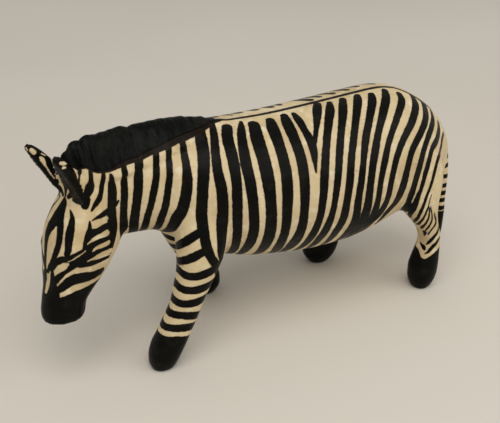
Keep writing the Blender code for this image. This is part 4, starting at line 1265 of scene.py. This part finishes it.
def painted_wood():
    """Hand-brushed black on aged cream, under a satin varnish."""
    finish = Finish("painted_wood")
    finish.place = finish.add("ShaderNodeTexCoord", output=3)
    waver = finish.sum("MULTIPLY", finish.sum("SUBTRACT", finish.noise(0.7 * PER_MM, 3.0), 0.5), 0.5)
    ink = finish.sum("ADD", finish.attribute("ink"), waver)
    black = finish.ramp(ink, 0.09, -0.09)
    rim = finish.ramp(ink, 0.35, 0.05)
    cloudy = finish.ramp(finish.noise(0.06 * PER_MM, 3.0), 0.35, 0.68)
    cream = finish.mix(cloudy, CREAM, CREAM_AGED)
    cream = finish.mix(finish.ramp(finish.noise(0.25 * PER_MM, 4.0), 0.5, 0.75), cream, CREAM_PALE)
    grain = finish.ramp(finish.noise(0.5 * PER_MM, 4.0, (0.12, 1.0, 1.0)), 0.56, 0.78)
    dots = finish.ramp(finish.noise(0.9 * PER_MM, 1.0), 0.72, 0.80)
    for mark, share in ((grain, GRAIN_SHARE), (rim, RIM_SHARE), (dots, DOT_SHARE)):
        cream = finish.mix(finish.sum("MULTIPLY", mark, share), cream, SPECK)
    thin = finish.ramp(finish.noise(0.22 * PER_MM, 4.0), 0.5, 0.78)
    dark = finish.mix(thin, BLACK, BLACK_THIN)
    band = finish.ramp(finish.attribute("wash"), -0.1, 0.25)
    dark = finish.mix(band, dark, BROWN)
    dark = finish.mix(finish.ramp(finish.attribute("grey"), -0.2, 0.2), dark, GREY)
    finish.put(finish.shader, "Base Color", finish.mix(black, cream, dark))
    worn = finish.sum("ADD", 0.42, finish.ramp(finish.noise(0.4 * PER_MM, 3.0), 0.3, 0.8, 0.0, 0.16))
    roughness = finish.sum("SUBTRACT", worn, finish.sum("MULTIPLY", black, 0.10))
    finish.put(finish.shader, "Roughness", roughness)
    finish.shader.inputs["Specular IOR Level"].default_value = 0.06
    finish.shader.inputs["Coat Weight"].default_value = 0.06
    finish.shader.inputs["Coat Roughness"].default_value = 0.16
    tool = finish.noise(0.10 * PER_MM, 2.0)
    brush = finish.noise(1.3 * PER_MM, 3.0, (1.0, 0.45, 0.25))
    fine_cuts = finish.sum("MULTIPLY", finish.noise(1.6 * PER_MM, 2.0, CUT_STRETCH), 0.35)
    cuts = finish.sum("ADD", finish.noise(0.42 * PER_MM, 2.0, CUT_STRETCH), fine_cuts)
    cuts = finish.sum("MULTIPLY", cuts, finish.ramp(finish.attribute("hair"), -0.1, 0.4))
    height = finish.sum("MULTIPLY", tool, TOOL_DEPTH)
    for relief, depth in ((brush, BRUSH_DEPTH), (black, PAINT_DEPTH), (cuts, CUT_DEPTH)):
        height = finish.sum("ADD", height, finish.sum("MULTIPLY", relief, depth))
    bump = finish.tree.nodes.new("ShaderNodeBump")
    bump.inputs["Strength"].default_value = 1.0
    bump.inputs["Distance"].default_value = UNIT
    finish.put(bump, "Height", height)
    finish.put(finish.shader, "Normal", bump.outputs[0])
    return finish.material


def pale_floor():
    """The photograph's plain pale ground, a little cloudy."""
    finish = Finish("pale_floor")
    finish.place = finish.add("ShaderNodeTexCoord", output=3)
    soft = finish.ramp(finish.noise(3.0, 2.0), 0.3, 0.7)
    finish.put(finish.shader, "Base Color", finish.mix(soft, *FLOOR_SHADES))
    finish.shader.inputs["Roughness"].default_value = 0.9
    return finish.material


def made_finer(mesh, skin):
    """The mesh with its edges halved where they are too coarse for the strokes that cross them."""
    points = positions(mesh)
    ends = np.empty(len(mesh.edges) * 2, int)
    mesh.edges.foreach_get("vertices", ends)
    ends = ends.reshape(-1, 2)
    at_points = painted(skin, points)[0]
    at_middles = painted(skin, points[ends].mean(axis=1))[0]
    error = np.abs(at_middles - at_points[ends].mean(axis=1))
    chosen = np.flatnonzero((error > FINE_ERROR) & (np.abs(at_middles) < FINE_REACH))
    bm = bmesh.new()
    bm.from_mesh(mesh)
    bm.edges.ensure_lookup_table()
    bmesh.ops.subdivide_edges(bm, edges=[bm.edges[k] for k in chosen], cuts=1)
    bmesh.ops.triangulate(bm, faces=bm.faces[:])
    bm.to_mesh(mesh)
    bm.free()


def build_zebra():
    material = painted_wood()
    mesh = carve(material)
    skin = skin_tree(mesh)
    for _ in range(FINE_ROUNDS):
        made_finer(mesh, skin)
    for name, values in zip(("ink", "wash", "grey", "hair"), painted(skin, positions(mesh))):
        made = mesh.attributes.new(name, "FLOAT", "POINT")
        made.data.foreach_set("value", values.astype(np.float32))
    points = (positions(mesh) - (MIDDLE_X, 0.0, 0.0)) * UNIT
    mesh.vertices.foreach_set("co", points.ravel())
    mesh.update()
    mesh.shade_smooth()
    mesh.materials.clear()
    mesh.materials.append(material)
    zebra = bpy.data.objects.new("painted_zebra", mesh)
    bpy.context.scene.collection.objects.link(zebra)
    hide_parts("zebra")
    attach(zebra, "root")


# The photograph's view, in units and degrees.
CAMERA_PLACE = (-154.84, -280.33, 212.14)
CAMERA_TURN = 28.07
CAMERA_DIP = 27.77
CAMERA_LENS = 64.8  # mm
CAMERA_SENSOR = 36.0  # mm across

# The studio, in metres: name, place, size, power and colour of each light.
LIGHTS = (
    ("key", (-0.25, -0.45, 1.0), 1.0, 6.0, (1.0, 0.97, 0.92)),
    ("fill", (0.8, -0.8, 0.8), 1.3, 5.1, (1.0, 0.98, 0.95)),
)
LIGHT_TARGET = (0.0, 0.0, 0.04)
SKY_COLOUR = (0.95, 0.93, 0.90, 1.0)
SKY_STRENGTH = 0.47
FLOOR_RADIUS = 4.0
FLOOR_DROP = 0.0002  # keeps the floor clear of the soles


def add_camera():
    data = bpy.data.cameras.new("camera")
    data.lens = CAMERA_LENS
    data.sensor_width = CAMERA_SENSOR
    data.clip_start = 0.01
    camera = bpy.data.objects.new("camera", data)
    turn, dip = math.radians(CAMERA_TURN), math.radians(CAMERA_DIP)
    way = Vector((math.sin(turn) * math.cos(dip), math.cos(turn) * math.cos(dip), -math.sin(dip)))
    camera.location = Vector(CAMERA_PLACE) * UNIT
    camera.rotation_euler = way.to_track_quat("-Z", "Y").to_euler()
    bpy.context.scene.collection.objects.link(camera)
    bpy.context.scene.camera = camera


def add_floor():
    bm = bmesh.new()
    bmesh.ops.create_circle(bm, cap_ends=True, segments=96, radius=FLOOR_RADIUS)
    mesh = bpy.data.meshes.new("floor")
    bm.to_mesh(mesh)
    bm.free()
    mesh.materials.append(pale_floor())
    floor = bpy.data.objects.new("floor", mesh)
    floor.location.z = -FLOOR_DROP
    bpy.context.scene.collection.objects.link(floor)


def add_light(name, place, size, power, colour):
    data = bpy.data.lights.new(name, "AREA")
    data.shape = "DISK"
    data.size = size
    data.energy = power
    data.color = colour
    light = bpy.data.objects.new(name, data)
    light.location = place
    light.rotation_euler = (Vector(LIGHT_TARGET) - Vector(place)).to_track_quat("-Z", "Y").to_euler()
    bpy.context.scene.collection.objects.link(light)


def add_studio():
    for light in LIGHTS:
        add_light(*light)
    world = bpy.data.worlds.new("studio")
    world.use_nodes = True
    sky = world.node_tree.nodes["Background"]
    sky.inputs["Color"].default_value = SKY_COLOUR
    sky.inputs["Strength"].default_value = SKY_STRENGTH
    bpy.context.scene.world = world
    bpy.context.scene.view_settings.view_transform = "Standard"


build_zebra()
add_camera()
add_floor()
add_studio()
